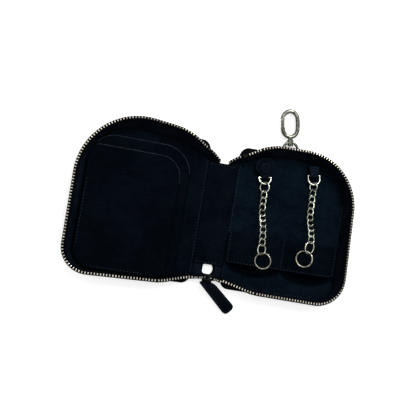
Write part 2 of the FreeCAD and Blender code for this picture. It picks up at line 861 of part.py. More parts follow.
def d_ring(label, leg, slope, frame):
    """D ring tipped up about its bar, its round end towards -Y."""
    tip = Rotation(Vector(1, 0, 0), -slope).multiply(Rotation(Vector(0, 0, 1), 180))
    tipped = frame.multiply(Placement(Vector(), tip))
    keep(fused(label, d_shape(label, tipped, "d_radius", leg, "d_wire")), label)


def wire_ring(label, radius, wire, roll, centre, frame):
    """A wire ring rolled about the chain's line so that it climbs towards +X."""
    ring = primitive("Torus", label, Radius1=radius, Radius2=f"{wire} / 2")
    ring.Placement = frame.multiply(Placement(centre, Rotation(Vector(0, 1, 0), -value(roll))))
    keep(ring, label)


def ring_rise(radius, wire, roll):
    """How far the middle of a rolled ring stands above what it lies on."""
    return value(radius) * abs(math.sin(math.radians(value(roll)))) + value(wire) / 2


def smooth(fraction):
    """An even rise from 0 to 1."""
    fraction = min(1.0, max(0.0, fraction))
    return fraction * fraction * (3 - 2 * fraction)


# How often the foot of a link is worked out again as the chain climbs
SETTLING_PASSES = 8


def about(spot, angle):
    """A turn about an upright line."""
    return Placement(Vector(), Rotation(Vector(0, 0, 1), angle), spot)


class KeyChain:
    """Places of the rings and links of one chain, which hangs at a small turn from its tab."""

    def __init__(self, name, strap):
        self.name = name
        self.leg = f"{strap}_leg"
        self.jump, self.low, self.key = [f"{strap}_{ring}_radius" for ring in ("jump", "low", "key")]
        place_y = value(f"{strap}_y")
        bar = number(BAR)
        self.frame = Placement(Vector(value(f"{strap}_x"), place_y, bar),
                               Rotation(Vector(0, 0, 1), value("chain_lean")))
        floor = number(STACK) + value("floor_play") - bar
        self.ring_height = floor + ring_rise(self.jump, "jump_wire", "jump_roll")
        bow = value(self.leg) + value("d_radius")
        self.slope = math.degrees(math.asin(self.ring_height / bow))
        self.bow_foot = Vector(0, -bow * math.cos(math.radians(self.slope)), self.ring_height)
        hold = number("(d_wire + jump_wire) / 2 + link_play")
        self.jump_centre = self.bow_foot + Vector(0, hold - value(self.jump), 0)
        self.level = floor + number("band_thick + band_rise") + max(
            ring_rise(self.low, "jump_wire", "low_roll"), ring_rise(self.key, "key_wire", "key_roll"))
        turn = value(f"{strap}_turn")
        middle = Vector(0, -value(self.leg) * math.cos(math.radians(self.slope)), 0)
        self.hang = self.frame.multiply(about(middle, turn))
        reach = (value("band_top") - place_y) / math.cos(math.radians(value("chain_lean") + turn))
        self.lay_links(floor, reach, self.jump_centre.y - value(self.jump))
        self.lay_rings()
        self.low_hang = self.hang.multiply(about(self.link_eye, value(f"{strap}_low_turn")))
        self.key_hang = self.low_hang.multiply(about(self.low_centre, value(f"{strap}_key_turn")))

    def lay_links(self, floor, band_edge, jump_foot):
        """Links from the upper ring along the lining, then up on to the band."""
        wire, long = value("link_wire"), value("link_half_long")
        lying = floor + value("link_twist") + wire / 2
        pitch = 2 * long - wire - value("link_play")
        climb_end = band_edge + pitch

        def height(y):
            down = smooth((jump_foot - y) / value("settle_run"))
            up = smooth((climb_end + value("climb_run") - y) / value("climb_run"))
            return self.ring_height + (lying - self.ring_height) * down + (self.level - lying) * up

        start = jump_foot + number("(jump_wire + link_wire) / 2 + link_play")
        top = Vector(0, start, height(start))
        self.links = []
        for _ in range(int(value("link_count"))):
            bottom_y = top.y - 2 * long
            for _ in range(SETTLING_PASSES):
                rise = height(bottom_y) - top.z
                bottom_y = top.y - math.sqrt(4 * long * long - rise * rise)
            bottom = Vector(0, bottom_y, height(bottom_y))
            along = (top - bottom).normalize()
            self.links.append(((top + bottom) * 0.5, math.degrees(math.asin(along.z)), bottom))
            top = bottom + along * (2 * long - pitch)
        self.link_eye = bottom + along * number("link_half_wide * link_half_wide / link_half_long")

    def lay_rings(self):
        """Lower ring on the last link and the key ring on it, both lying on the band."""
        hold = number("(link_wire + jump_wire) / 2 + link_play")
        self.low_centre = self.links[-1][2] + Vector(0, hold - value(self.low), 0)
        self.low_foot = self.low_centre - Vector(0, value(self.low), 0)
        hold = number("(jump_wire + key_wire) / 2 + link_play")
        self.key_centre = self.low_foot + Vector(0, hold - value(self.key), 0)

    def link_run(self, label, first, last):
        """Some of the links, as one piece of chain."""
        pattern = chain_link()
        shapes = []
        for centre, pitch_angle, _ in self.links[first:last]:
            shape = pattern.copy()
            shape.Placement = Placement(centre, Rotation(Vector(1, 0, 0), pitch_angle))
            shapes.append(shape)
        shape_part(label, Part.makeCompound(shapes), self.hang)

    def build(self):
        name, upper = self.name, int(value("link_upper"))
        d_ring(f"d_ring_{name}", self.leg, self.slope, self.frame)
        wire_ring(f"upper_jump_ring_{name}", self.jump, "jump_wire", "jump_roll", self.jump_centre, self.hang)
        self.link_run(f"chain_upper_{name}", 0, upper)
        self.link_run(f"chain_lower_{name}", upper, len(self.links))
        wire_ring(f"lower_jump_ring_{name}", self.low, "jump_wire", "low_roll", self.low_centre,
                  self.low_hang)
        wire_ring(f"key_ring_{name}", self.key, "key_wire", "key_roll", self.key_centre, self.key_hang)


# Tabs that carry the chains

OVER_BAR = "(d_wire / 2 + ring_play)"


def snap_tab(frame):
    """Sewn base with its stud, and the flap that snaps down over the ring's bar."""
    base = primitive("Box", "snap_tab_base", Length="2 * base_half", Width="base_long + base_back",
                     Height="strap_thick")
    keep(seat(base, frame, "-base_half", "-base_back", f"-({UNDER_BAR})"), "snap_tab_base")
    stud = primitive("Cylinder", "snap_stud", Radius="stud_radius", Height="stud_tall")
    keep(seat(stud, frame, "0", "cap_place", f"strap_thick - ({UNDER_BAR})"), "snap_stud")
    side = [("flap_neck", "-flap_back"), ("flap_neck", "flap_step"),
            ("flap_half", "flap_step + flap_chamfer"), ("flap_half", "flap_long - flap_chamfer"),
            ("flap_half - flap_chamfer", "flap_long")]
    corners = side + [(f"-({x})", y) for x, y in reversed(side)]
    keep(seat(plate("snap_flap", corners, "strap_thick", {}), frame, z=OVER_BAR), "snap_flap")
    dome = "(cap_radius * cap_radius + cap_rise * cap_rise) / (2 * cap_rise)"
    top = f"{OVER_BAR} + strap_thick"
    ball = primitive("Sphere", "cap_ball", Radius=dome)
    disc = primitive("Cylinder", "cap_disc", Radius="cap_radius", Height="cap_rise")
    cap = doc.addObject("Part::Common", "snap_cap")
    cap.Base = seat(ball, frame, "0", "cap_place", f"{top} + cap_rise - {dome}")
    cap.Tool = seat(disc, frame, "0", "cap_place", top)
    keep(cap, "snap_cap")
    rings = []
    for radius in ("socket_radius", "stud_radius + stud_play"):
        ring = primitive("Cylinder", "socket_side", Radius=radius, Height="socket_tall")
        rings.append(seat(ring, frame, "0", "cap_place", f"{OVER_BAR} - socket_tall"))
    keep(less("snap_socket", *rings), "snap_socket")


def key_loop(frame):
    """Leather loop sewn flat on the lining, folded round the bar of its D ring."""
    block = primitive("Box", "loop_block", Length="2 * loop_half", Width=f"loop_tall + {OVER_BAR} + loop_lip",
                      Height=f"{UNDER_BAR} + {OVER_BAR} + strap_thick")
    seat(block, frame, "-loop_half", f"-{OVER_BAR} - loop_lip", f"-({UNDER_BAR})")
    keep(less("key_loop", block, rod_x("loop_room", frame, OVER_BAR, "loop_half")), "key_loop")


# Snap hook, in its own frame: the eye's bar lies along X and the hook runs out along +Y

def hook_frame():
    return Placement(Vector(value("hook_x"), value("hook_y"), value("hook_z")),
                     Rotation(Vector(0, 0, 1), value("hook_lean")))


def hook_tab(frame):
    """Folded strap in the top seam, with room for the eye's bar."""
    room = "eye_wire / 2 + tab_play"
    skin = f"({room} + tab_skin)"
    block = primitive("Box", "strap_block", Length="2 * tab_half", Width="tab_back", Height=f"2 * {skin}")
    seat(block, frame, "-tab_half", "-tab_back", f"-{skin}")
    knuckle = rod_x("strap_knuckle", frame, skin, "tab_half")
    strap = fused("strap", [block, knuckle])
    keep(less("hook_tab", strap, rod_x("strap_room", frame, room, "tab_half")), "hook_tab")


COLLAR_START = "(eye_leg + eye_radius - eye_collar_tall / 2)"
NECK_START = "(eye_leg + eye_radius + eye_collar_tall / 2 + post_end_play)"


def hook_eye(frame):
    """D-shaped eye with a bored collar for the swivel post."""
    collar = rod_y("eye_collar_body", frame, "eye_collar", COLLAR_START, "eye_collar_tall")
    bore = rod_y("eye_bore", frame, "post_radius + post_play", f"{COLLAR_START} - eye_wire / 2",
                 "eye_collar_tall + eye_wire")
    eye = fused("eye_wire_and_collar", d_shape("eye", frame, "eye_radius", "eye_leg", "eye_wire") + [collar])
    keep(less("hook_eye", eye, bore), "hook_eye")


def swivel_post(frame):
    """Headed post that turns in the eye's collar."""
    head_start = f"({COLLAR_START} - post_end_play - post_head_tall)"
    head = rod_y("post_head_body", frame, "post_head", head_start, "post_head_tall")
    shank = rod_y("post_shank", frame, "post_radius", head_start, f"{NECK_START} - {head_start}")
    keep(fused("swivel_post", [head, shank]), "swivel_post")


def ring_centre():
    """How far the middle of the hook's ring lies from the eye's bar."""
    return number(f"{NECK_START} + neck_long + ring_half_long + ring_wire / 4")


def hook_oval():
    """Arcs of the hook's oval: end radius, side radius and where they meet."""
    wide, long, end = value("ring_half_wide"), value("ring_half_long"), value("ring_end_radius")
    side = (wide ** 2 + (long - end) ** 2 - end ** 2) / (2 * (wide - end))
    return wide, long, end, side


def oval_point(y):
    """Point of the oval's left side at a height above its middle."""
    wide, long, end, side = hook_oval()
    return Vector(side - wide - math.sqrt(side * side - y * y), y, 0)


def past_joint(side):
    """What lies past the slanted joint of gate and hook: above it, or below it for a side of -1."""
    reach = value("ring_wire") * 2
    block = Part.makeBox(reach, reach, reach, Vector(-reach / 2, 0 if side > 0 else -reach, -reach / 2))
    block.translate(Vector(0, side * -value("gate_gap") / 2, 0))
    block.rotate(Vector(), Vector(0, 0, 1), value("gate_slant"))
    block.translate(oval_point(value("gate_high")))
    return block


def slant_reach():
    """How far past the joint's middle the gate and the hook run before they are cut to its slant."""
    return value("ring_wire") * math.tan(math.radians(value("gate_slant")))


def snap_hook(frame):
    """Oval ring with its mouth on the left, and the gate on its pin."""
    centre = ring_centre()
    wide, long, end, side = hook_oval()
    wire = value("ring_wire")
    low = oval_point(value("gate_low"))
    high = oval_point(value("gate_high") - slant_reach())
    meet = math.atan2(long - end, side - wide)
    corner = Vector(side * math.cos(meet) - (side - wide), side * math.sin(meet), 0)
    top_left = Vector(-corner.x, corner.y, 0)
    low_right = Vector(corner.x, -corner.y, 0)
    low_left = Vector(-corner.x, -corner.y, 0)
    edges = [arc_edge(high, oval_point((high.y + corner.y) / 2), top_left),
             arc_edge(top_left, Vector(0, long, 0), corner),
             arc_edge(corner, Vector(wide, 0, 0), low_right),
             arc_edge(low_right, Vector(0, -long, 0), low_left),
             arc_edge(low_left, oval_point((low.y - corner.y) / 2), low)]
    tall = number("gate_eye_thick + 2 * gate_cheek_play")
    room = Part.makeCylinder(number("gate_eye + 2 * gate_cheek_play"), tall, low - Vector(0, 0, tall / 2))
    pin_hole = Part.makeCylinder(value("gate_pin"), wire, low - Vector(0, 0, wire / 2))
    ring = swept_wire(edges, wire).cut(past_joint(-1))
    ring = ring.fuse(Part.makeSphere(wire / 2, low)).cut([room, pin_hole])
    ring.translate(Vector(0, centre, 0))
    start = number(NECK_START)
    neck = Part.makeCylinder(value("neck_radius"), centre - long - start, Vector(0, start, 0),
                             Vector(0, 1, 0))
    shape_part("hook_ring", ring.fuse(neck).removeSplitter(), frame)
    hook_gate(frame.multiply(Placement(Vector(0, centre, 0), Rotation())), low)


def hook_gate(frame, low):
    """Gate from its pin to the tip of the hook, the pin itself and the spring in the gate's foot."""
    tip = oval_point(value("gate_high") + slant_reach())
    rod = swept_wire([arc_edge(low, oval_point((low.y + tip.y) / 2), tip)], value("gate_wire"))
    rod = rod.cut(past_joint(1))
    tall = value("gate_eye_thick")
    clear = number("ring_wire / 2 + 2 * gate_cheek_play")
    for z in (tall / 2, -tall / 2 - value("gate_wire")):
        rod = rod.cut(Part.makeCylinder(clear, value("gate_wire"), low + Vector(0, 0, z)))
    foot = low - Vector(0, 0, tall / 2)
    eye = Part.makeCylinder(value("gate_eye"), tall, foot)
    bore = Part.makeCylinder(number("gate_pin + gate_pin_play"), tall, foot)
    start = oval_point(low.y + clear)
    rise = (oval_point(start.y + value("spring_long")) - start).normalize()
    socket = Part.makeCylinder(number("spring_radius + spring_play"),
                               number("spring_long + spring_play"), start, rise)
    shape_part("hook_gate", rod.fuse(eye).removeSplitter().cut([bore, socket]), frame)
    spring = primitive("Cylinder", "gate_spring", Radius="spring_radius", Height="spring_long")
    spring.Placement = frame.multiply(Placement(start, Rotation(Vector(0, 0, 1), rise)))
    keep(spring, "gate_spring")
    pin = primitive("Cylinder", "gate_pin", Radius="gate_pin", Height="ring_wire")
    pin.Placement = frame.multiply(Placement(low - Vector(0, 0, value("ring_wire") / 2), Rotation()))
    keep(pin, "gate_pin")


def check():
    """Stop before anything is written if an object failed."""
    for item in doc.Objects:
        if "Invalid" in item.State or "Error" in item.State:
            raise RuntimeError(f"{item.Label} failed: {item.State}")
    for item in parts:
        if item.Shape.isNull() or not item.Shape.isValid():
            raise RuntimeError(f"{item.Label} has no valid shape")


snap_chain = KeyChain("left", "snap")
loop_chain = KeyChain("right", "loop")


def build():
    spine()
    for side in SIDES:
        half_shell(side)
        zip_tape(side)
        zip_teeth(side)
    card_pocket("back", STACK)
    card_pocket("front", STACK + " + leaf_slot + leaf_thick")
    key_band()
    zip_end()
    zip_slider()
    zip_pull()
    snap_tab(snap_chain.frame)
    key_loop(loop_chain.frame)
    for chain in (snap_chain, loop_chain):
        chain.build()
    for piece in (hook_tab, hook_eye, swivel_post, snap_hook):
        piece(hook_frame())


build()
doc.recompute()
check()
os.makedirs("parts", exist_ok=True)
for part in parts:
    part.Shape.exportStep(f"parts/{part.Label}.step")
    print(f"{part.Label:24s} {len(part.Shape.Solids):4d} solids {part.Shape.Volume:10.1f} mm3")
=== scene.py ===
import json
import math

import bpy
import numpy as np
from mathutils import Matrix, Vector


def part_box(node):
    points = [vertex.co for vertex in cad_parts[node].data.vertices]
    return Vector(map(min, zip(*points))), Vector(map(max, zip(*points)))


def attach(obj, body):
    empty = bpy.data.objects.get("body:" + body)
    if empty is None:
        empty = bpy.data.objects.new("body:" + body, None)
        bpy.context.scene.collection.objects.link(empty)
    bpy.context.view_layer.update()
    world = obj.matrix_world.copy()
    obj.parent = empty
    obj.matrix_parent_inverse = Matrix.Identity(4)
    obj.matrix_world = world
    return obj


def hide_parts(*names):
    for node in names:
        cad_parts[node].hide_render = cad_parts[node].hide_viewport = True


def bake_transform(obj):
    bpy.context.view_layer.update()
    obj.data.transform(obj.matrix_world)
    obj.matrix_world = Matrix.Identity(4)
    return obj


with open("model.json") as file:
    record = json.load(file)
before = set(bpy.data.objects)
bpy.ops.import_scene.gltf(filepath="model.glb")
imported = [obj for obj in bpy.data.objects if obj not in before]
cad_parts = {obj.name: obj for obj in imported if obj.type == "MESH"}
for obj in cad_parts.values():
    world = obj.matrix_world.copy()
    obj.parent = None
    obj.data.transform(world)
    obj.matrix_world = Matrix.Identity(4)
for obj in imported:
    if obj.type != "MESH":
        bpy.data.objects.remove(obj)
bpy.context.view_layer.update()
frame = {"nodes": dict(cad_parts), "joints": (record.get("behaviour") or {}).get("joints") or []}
mm = 0.001
halves = (("left", -1), ("right", 1))
squareOn = 0.9  # a face looks along an axis from this share of its normal
print("frame loaded with", len(frame["nodes"]), "parts")


# picking and shaping

def clearSelection():
    if bpy.context.object and bpy.context.object.mode != "OBJECT":
        bpy.ops.object.mode_set(mode="OBJECT")
    bpy.ops.object.select_all(action="DESELECT")


def takeUp(piece):
    clearSelection()
    piece.select_set(True)
    bpy.context.view_layer.objects.active = piece
    return piece


def openMesh(piece, kind="VERT", test=None):  # edit mode, with the wanted corners, edges or faces selected
    takeUp(piece)
    bpy.ops.object.mode_set(mode="EDIT")
    bpy.ops.mesh.select_mode(type=kind)
    bpy.ops.mesh.select_all(action="SELECT" if test is None else "DESELECT")
    if test is not None:
        bpy.ops.object.mode_set(mode="OBJECT")
        mesh = piece.data
        for part in {"VERT": mesh.vertices, "EDGE": mesh.edges, "FACE": mesh.polygons}[kind]:
            part.select = bool(test(part))
        bpy.ops.object.mode_set(mode="EDIT")


def closeMesh():
    bpy.ops.object.mode_set(mode="OBJECT")


def useModifier(piece, kind, **settings):
    takeUp(piece)
    tool = piece.modifiers.new(kind.lower(), kind)
    for name, value in settings.items():
        setattr(tool, name, value)
    bpy.ops.object.modifier_apply(modifier=tool.name)


def roundEdges(piece, width, segments=3, angle=50):
    useModifier(piece, "BEVEL", width=width * mm, segments=segments, limit_method="ANGLE",
                angle_limit=math.radians(angle), use_clamp_overlap=True)


def mergeCorners(piece, reach):
    openMesh(piece)
    bpy.ops.mesh.remove_doubles(threshold=reach * mm)
    closeMesh()


def faceOutwards(piece):
    openMesh(piece)
    bpy.ops.mesh.normals_make_consistent(inside=False)
    closeMesh()


copied = {"merge": 0.002, "flatAngle": 0.4}


def copyPart(nodeName, pieceName, flatten=True):
    piece = bpy.data.objects.new(pieceName, frame["nodes"][nodeName].data.copy())
    bpy.context.scene.collection.objects.link(piece)
    piece.data.materials.clear()
    openMesh(piece)
    bpy.ops.mesh.customdata_custom_splitnormals_clear()
    bpy.ops.mesh.remove_doubles(threshold=copied["merge"] * mm)
    if flatten:
        bpy.ops.mesh.dissolve_limited(angle_limit=math.radians(copied["flatAngle"]))
    closeMesh()
    return piece


def cutAcross(piece, axis, places):  # places in mm
    way = Vector([float(k == axis) for k in range(3)])
    for place in places:
        openMesh(piece)
        bpy.ops.mesh.bisect(plane_co=way * place * mm, plane_no=way)
    closeMesh()


def moveCorners(piece, rule):  # rule gives each corner's shift in mm from its place in mm
    for corner in piece.data.vertices:
        corner.co += Vector(rule(*(corner.co / mm))) * mm
    piece.data.update()


def applyPlace(piece):
    takeUp(piece)
    bpy.ops.object.transform_apply(location=True, rotation=True, scale=True)


def boxPiece(name, low, high):
    clearSelection()
    bpy.ops.mesh.primitive_cube_add(size=1, location=(Vector(low) + Vector(high)) / 2 * mm)
    piece = bpy.context.object
    piece.name = name
    piece.scale = (Vector(high) - Vector(low)) * mm
    applyPlace(piece)
    return piece


def copyAlong(pattern, places, pieceName):  # one joined piece, a copy of the pattern at each place
    copies = []
    for place in places:
        mesh = pattern.data.copy()
        mesh.transform(place)
        copies.append(bpy.data.objects.new(pieceName, mesh))
        bpy.context.scene.collection.objects.link(copies[-1])
    clearSelection()
    for item in copies:
        item.select_set(True)
    bpy.context.view_layer.objects.active = copies[0]
    bpy.ops.object.join()
    return copies[0]


def putAway(pattern):
    bpy.data.objects.remove(pattern)


def turnedTo(along, across, up, spot):  # place with these three directions at the spot, in metres
    place = Matrix((along, across, up)).transposed().to_4x4()
    place.translation = spot
    return place


def dress(piece, slotName, finish, *nodes, smooth=40):
    takeUp(piece)
    bpy.ops.object.shade_smooth_by_angle(angle=math.radians(smooth))
    piece.data.materials.clear()
    piece.data.materials.append(finish.material)
    if nodes:
        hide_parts(*nodes)
    return piece


def dressFaces(piece, slotName, finishes, *nodes, smooth=40):  # each face keeps its place in the list of finishes
    places = [face.material_index for face in piece.data.polygons]
    dress(piece, slotName, finishes[0], *nodes, smooth=smooth)
    for finish in finishes[1:]:
        piece.data.materials.append(finish.material)
    for face, place in zip(piece.data.polygons, places):
        face.material_index = place
    return piece


def steps(start, end, step):
    count = int(round((end - start) / step))
    return [start + (end - start) * k / count for k in range(count + 1)]


# shader values and finishes

class Strand:  # a shader value that takes part in sums
    def __init__(self, tree, socket):
        self.tree, self.socket = tree, socket

    def sum(self, operation, other, turned=False):
        node = self.tree.nodes.new("ShaderNodeMath")
        node.operation = operation
        for place, item in enumerate((other, self) if turned else (self, other)):
            if isinstance(item, Strand):
                self.tree.links.new(item.socket, node.inputs[place])
            else:
                node.inputs[place].default_value = item
        return Strand(self.tree, node.outputs[0])

    def __add__(self, other): return self.sum("ADD", other)
    def __radd__(self, other): return self.sum("ADD", other, True)
    def __sub__(self, other): return self.sum("SUBTRACT", other)
    def __rsub__(self, other): return self.sum("SUBTRACT", other, True)
    def __mul__(self, other): return self.sum("MULTIPLY", other)
    def wave(self): return self.sum("SINE", 0.0)


def shade(colour):
    return colour if isinstance(colour, Strand) else (*colour, 1)


class Finish:  # one material and its nodes
    def __init__(self, name, **constants):
        self.material = bpy.data.materials.new(name)
        self.material.use_nodes = True
        self.tree = self.material.node_tree
        self.shader = self.tree.nodes["Principled BSDF"]
        self.feed(**constants)

    def join(self, value, socket):
        if isinstance(value, Strand):
            self.tree.links.new(value.socket, socket)
        else:
            socket.default_value = value

    def node(self, kind, settings=None, sockets=None, out=0):
        made = self.tree.nodes.new("ShaderNode" + kind)
        for name, value in (settings or {}).items():
            setattr(made, name, value)
        for name, value in (sockets or {}).items():
            self.join(value, made.inputs[name])
        return Strand(self.tree, made.outputs[out])

    def feed(self, **sockets):
        for name, value in sockets.items():
            self.join(value, self.shader.inputs[name.replace("_", " ")])

    def place(self):
        return self.node("TexCoord", out="Object")

    def split(self, vector, *axes):
        return [self.node("SeparateXYZ", {}, {"Vector": vector}, out=k) for k in axes]

    def mottle(self, vector, scale, detail=3.0, rough=0.55):
        return self.node("TexNoise", {}, {"Vector": vector, "Scale": scale, "Detail": detail, "Roughness": rough})

    def stretch(self, vector, scale, turn):
        return self.node("Mapping", {}, {"Vector": vector, "Scale": scale, "Rotation": turn})

    def mask(self, value, low, high):
        return self.node("MapRange", {"interpolation_type": "SMOOTHSTEP"},
                         {"Value": value, "From Min": low, "From Max": high})

    def tint(self, share, first, second):  # sockets 0, 6 and 7 are the share and the two colours
        return self.node("Mix", {"data_type": "RGBA"}, {0: share, 6: shade(first), 7: shade(second)}, out=2)

    def relief(self, height, strength, distance):
        self.feed(Normal=self.node("Bump", {}, {"Height": height, "Strength": strength,
                                                "Distance": distance * mm}))


suedeLook = {"streak": 3.5, "streakStretch": (1, 2.4, 1), "streakTurn": (0, 0, 0.5), "nap": 900.0,
             "fibre": 5200.0, "fibreStretch": (1, 3, 1), "fibreTurn": (0, 0, 0.9),
             "lint": 1250.0, "lintMask": (0.69, 0.76), "lintShare": 0.7,
             "brushedShare": 0.44, "streakShare": 0.22, "napShare": 0.6, "mask": (0.48, 0.78),
             "dull": 0.98, "sheen": 0.12, "napRelief": 0.7, "fibreRelief": 0.3, "relief": (0.35, 0.12)}


def suedeFinish(name, dark, light, patch, shadowPaint=None):
    look = suedeLook
    finish = Finish(name, Specular_IOR_Level=0.0)
    place = finish.place()
    brushed = finish.mottle(place, patch, detail=4.0, rough=0.6)  # where the nap was stroked another way
    drawn = finish.stretch(place, look["streakStretch"], look["streakTurn"])
    streak = finish.mottle(drawn, patch * look["streak"])
    nap = finish.mottle(place, look["nap"], detail=4.0, rough=0.75)
    drawn = finish.stretch(place, look["fibreStretch"], look["fibreTurn"])
    fibre = finish.mottle(drawn, look["fibre"], detail=2.0)
    lint = finish.mask(finish.mottle(place, look["lint"], detail=1.0), *look["lintMask"])  # few pale specks
    share = brushed * look["brushedShare"] + streak * look["streakShare"] + nap * look["napShare"]
    share = finish.mask(share, *look["mask"]) + lint * look["lintShare"]
    colour = finish.tint(share, dark, light)
    if shadowPaint:  # painted shadow below the band's hem, widest where its loops stand open
        across, up = finish.split(place, 0, 1)
        arch = ((across - shadowPaint["seam"] * mm) * (math.pi / (shadowPaint["span"] * mm))).wave()
        opening = arch.sum("ABSOLUTE", 0.0).sum("POWER", shadowPaint["archPower"])
        row = finish.mask(up + opening * shadowPaint["reach"] * mm, (shadowPaint["hem"] - shadowPaint["hemSoft"]) * mm, shadowPaint["hem"] * mm)
        row = row * (1 - finish.mask(up, (shadowPaint["top"] - shadowPaint["topSoft"]) * mm, shadowPaint["top"] * mm))
        colour = finish.tint(row * shadowPaint["share"], colour, shadowPaint["colour"])
    finish.feed(Base_Color=colour, Roughness=look["dull"] - share * look["sheen"])
    finish.relief(nap * look["napRelief"] + fibre * look["fibreRelief"], *look["relief"])
    return finish


leatherLook = {"specular": 0.02, "creaseEdge": 0.16, "pores": 3.4, "wear": 70.0,
               "wearShare": 0.8, "poreShare": 0.25, "creaseShare": 0.15, "mask": (0.35, 0.72),
               "creaseDull": 0.16, "wearGloss": 0.06, "creaseRelief": 0.7, "poreRelief": 0.3, "relief": (0.3, 0.1)}


def leatherFinish(name, dark, light, grain, gloss):
    look = leatherLook
    finish = Finish(name, Specular_IOR_Level=look["specular"])
    place = finish.place()
    cells = finish.node("TexVoronoi", {"feature": "DISTANCE_TO_EDGE"}, {"Vector": place, "Scale": grain})
    crease = 1 - finish.mask(cells, 0.0, look["creaseEdge"])
    pores = finish.mottle(place, grain * look["pores"])
    wear = finish.mottle(place, look["wear"], detail=4.0)
    share = wear * look["wearShare"] + pores * look["poreShare"] - crease * look["creaseShare"]
    share = finish.mask(share, *look["mask"])
    finish.feed(Base_Color=finish.tint(share, dark, light),
                Roughness=gloss + crease * look["creaseDull"] - share * look["wearGloss"])
    finish.relief(1 - crease * look["creaseRelief"] - pores * look["poreRelief"], *look["relief"])
    return finish


metalLook = {"hairline": 2600.0, "hairStretch": (1, 9, 1), "hairTurn": (0.3, 0.2, 0.8),
             "cloudShare": 0.75, "hairShare": 0.25, "mask": (0.42, 0.6),
             "topMask": (0.25, 0.95), "topLeast": 0.35, "topCloud": 0.65,
             "hairDull": 0.1, "gloss": 0.05, "relief": (0.05, 0.02)}


def metalFinish(name, dark, light, gloss, patch=260.0, paintedLight=0.0):  # paintedLight: how much brighter tops are painted than sides, a painted highlight on top and painted shade at the sides
    look = metalLook
    finish = Finish(name, Metallic=1.0)
    place = finish.place()
    # painted reflection: the cloud mottle swaps dark and bright metal in patches, standing in for reflections of
    # darker and brighter surroundings
    cloud = finish.mottle(place, patch)
    drawn = finish.stretch(place, look["hairStretch"], look["hairTurn"])
    hairline = finish.mottle(drawn, look["hairline"], detail=2.0)
    share = finish.mask(cloud * look["cloudShare"] + hairline * look["hairShare"], *look["mask"])
    # painted highlight on faces turned up, painted shade on the sides
    if paintedLight:
        facing, = finish.split(finish.node("TexCoord", out="Normal"), 2)
        top = finish.mask(facing, *look["topMask"])
        share = share * (1 - paintedLight) + top * (look["topLeast"] + share * look["topCloud"]) * paintedLight
    finish.feed(Base_Color=finish.tint(share, dark, light),
                Roughness=gloss + hairline * look["hairDull"] - share * look["gloss"])
    finish.relief(hairline, *look["relief"])
    return finish


tapeLook = {"specular": 0.01, "slant": (7200.0, 5200.0), "rib": 9000.0, "wear": 110.0,
            "wearShare": 0.9, "slantShare": 0.12, "ribShare": 0.06, "mask": (0.3, 0.72),
            "dull": 0.9, "gloss": 0.1, "slantRelief": 0.5, "ribRelief": 0.35, "relief": (0.5, 0.12)}


def tapeFinish(name, dark, light):  # ribs across the run and rows along it, on the tape's own map
    look = tapeLook
    finish = Finish(name, Specular_IOR_Level=look["specular"])
    cells, rows = finish.split(finish.node("UVMap", {"uv_map": "tapeRun"}), 0, 1)
    slant = (cells * look["slant"][0] + rows * look["slant"][1]).wave()
    rib = (rows * look["rib"]).wave()
    wear = finish.mottle(finish.place(), look["wear"], detail=4.0)
    share = wear * look["wearShare"] + slant * look["slantShare"] + rib * look["ribShare"]
    share = finish.mask(share, *look["mask"])
    finish.feed(Base_Color=finish.tint(share, dark, light), Roughness=look["dull"] - share * look["gloss"])
    finish.relief(slant * look["slantRelief"] + rib * look["ribRelief"], *look["relief"])
    return finish


plainLook = {"dust": 9, "cloudShare": 0.7, "dustShare": 0.3, "mask": (0.35, 0.68), "dustDull": 0.12,
             "cloudRelief": 0.4, "dustRelief": 0.6, "relief": (0.15, 0.05)}


def plainFinish(name, dark, light, gloss, scale, specular):
    look = plainLook
    finish = Finish(name, Specular_IOR_Level=specular)
    place = finish.place()
    cloud = finish.mottle(place, scale, detail=4.0)
    dust = finish.mottle(place, scale * look["dust"], detail=2.0)
    share = finish.mask(cloud * look["cloudShare"] + dust * look["dustShare"], *look["mask"])
    finish.feed(Base_Color=finish.tint(share, dark, light), Roughness=gloss + dust * look["dustDull"])
    finish.relief(cloud * look["cloudRelief"] + dust * look["dustRelief"], *look["relief"])
    return finish


# painted shadow: a darker strip on the right lining under the band's hem, standing in for the shade of the arched
# loops
bandShadowPaint = {"seam": 52.75, "span": 39.8, "archPower": 0.5, "reach": 7.5, "hem": -30.6, "hemSoft": 2.0,
             "top": -9.0, "topSoft": 4.0, "share": 0.75, "colour": (0.0002, 0.0005, 0.0010)}
navySuede = suedeFinish("navySuede", (0.0010, 0.0028, 0.0056), (0.0044, 0.0093, 0.0152), 42.0, bandShadowPaint)
spineSuede = suedeFinish("spineSuede", (0.0010, 0.0022, 0.0042), (0.0030, 0.0056, 0.0092), 42.0)
pocketSuede = suedeFinish("pocketSuede", (0.0008, 0.0018, 0.0035), (0.0027, 0.0047, 0.0077), 36.0)
tabSuede = suedeFinish("tabSuede", (0.0014, 0.0034, 0.0062), (0.0042, 0.0082, 0.0132), 90.0)
loopSuede = suedeFinish("loopSuede", (0.0026, 0.0058, 0.0104), (0.0070, 0.0134, 0.0208), 90.0)
bandSuede = suedeFinish("bandSuede", (0.0008, 0.0019, 0.0036), (0.0027, 0.0052, 0.0086), 60.0)
outerLeather = leatherFinish("outerLeather", (0.0006, 0.0010, 0.0020), (0.0022, 0.0034, 0.0056), 850.0, 0.6)
pullLeather = leatherFinish("pullLeather", (0.0006, 0.0015, 0.0034), (0.0018, 0.0038, 0.0076), 1100.0, 0.5)
# pale edge paint that also stands in for a highlight along lit cut edges
edgePaintHighlight = plainFinish("edgePaintHighlight", (0.004, 0.008, 0.013), (0.022, 0.030, 0.040), 0.6, 260.0, 0.05)
# painted shadow along edges: in the gaps between the leaves and round the snap cap's rim
paintedEdgeShadow = plainFinish("paintedEdgeShadow", (0.0003, 0.0005, 0.0009), (0.0008, 0.0013, 0.0022), 0.9, 300.0, 0.0)
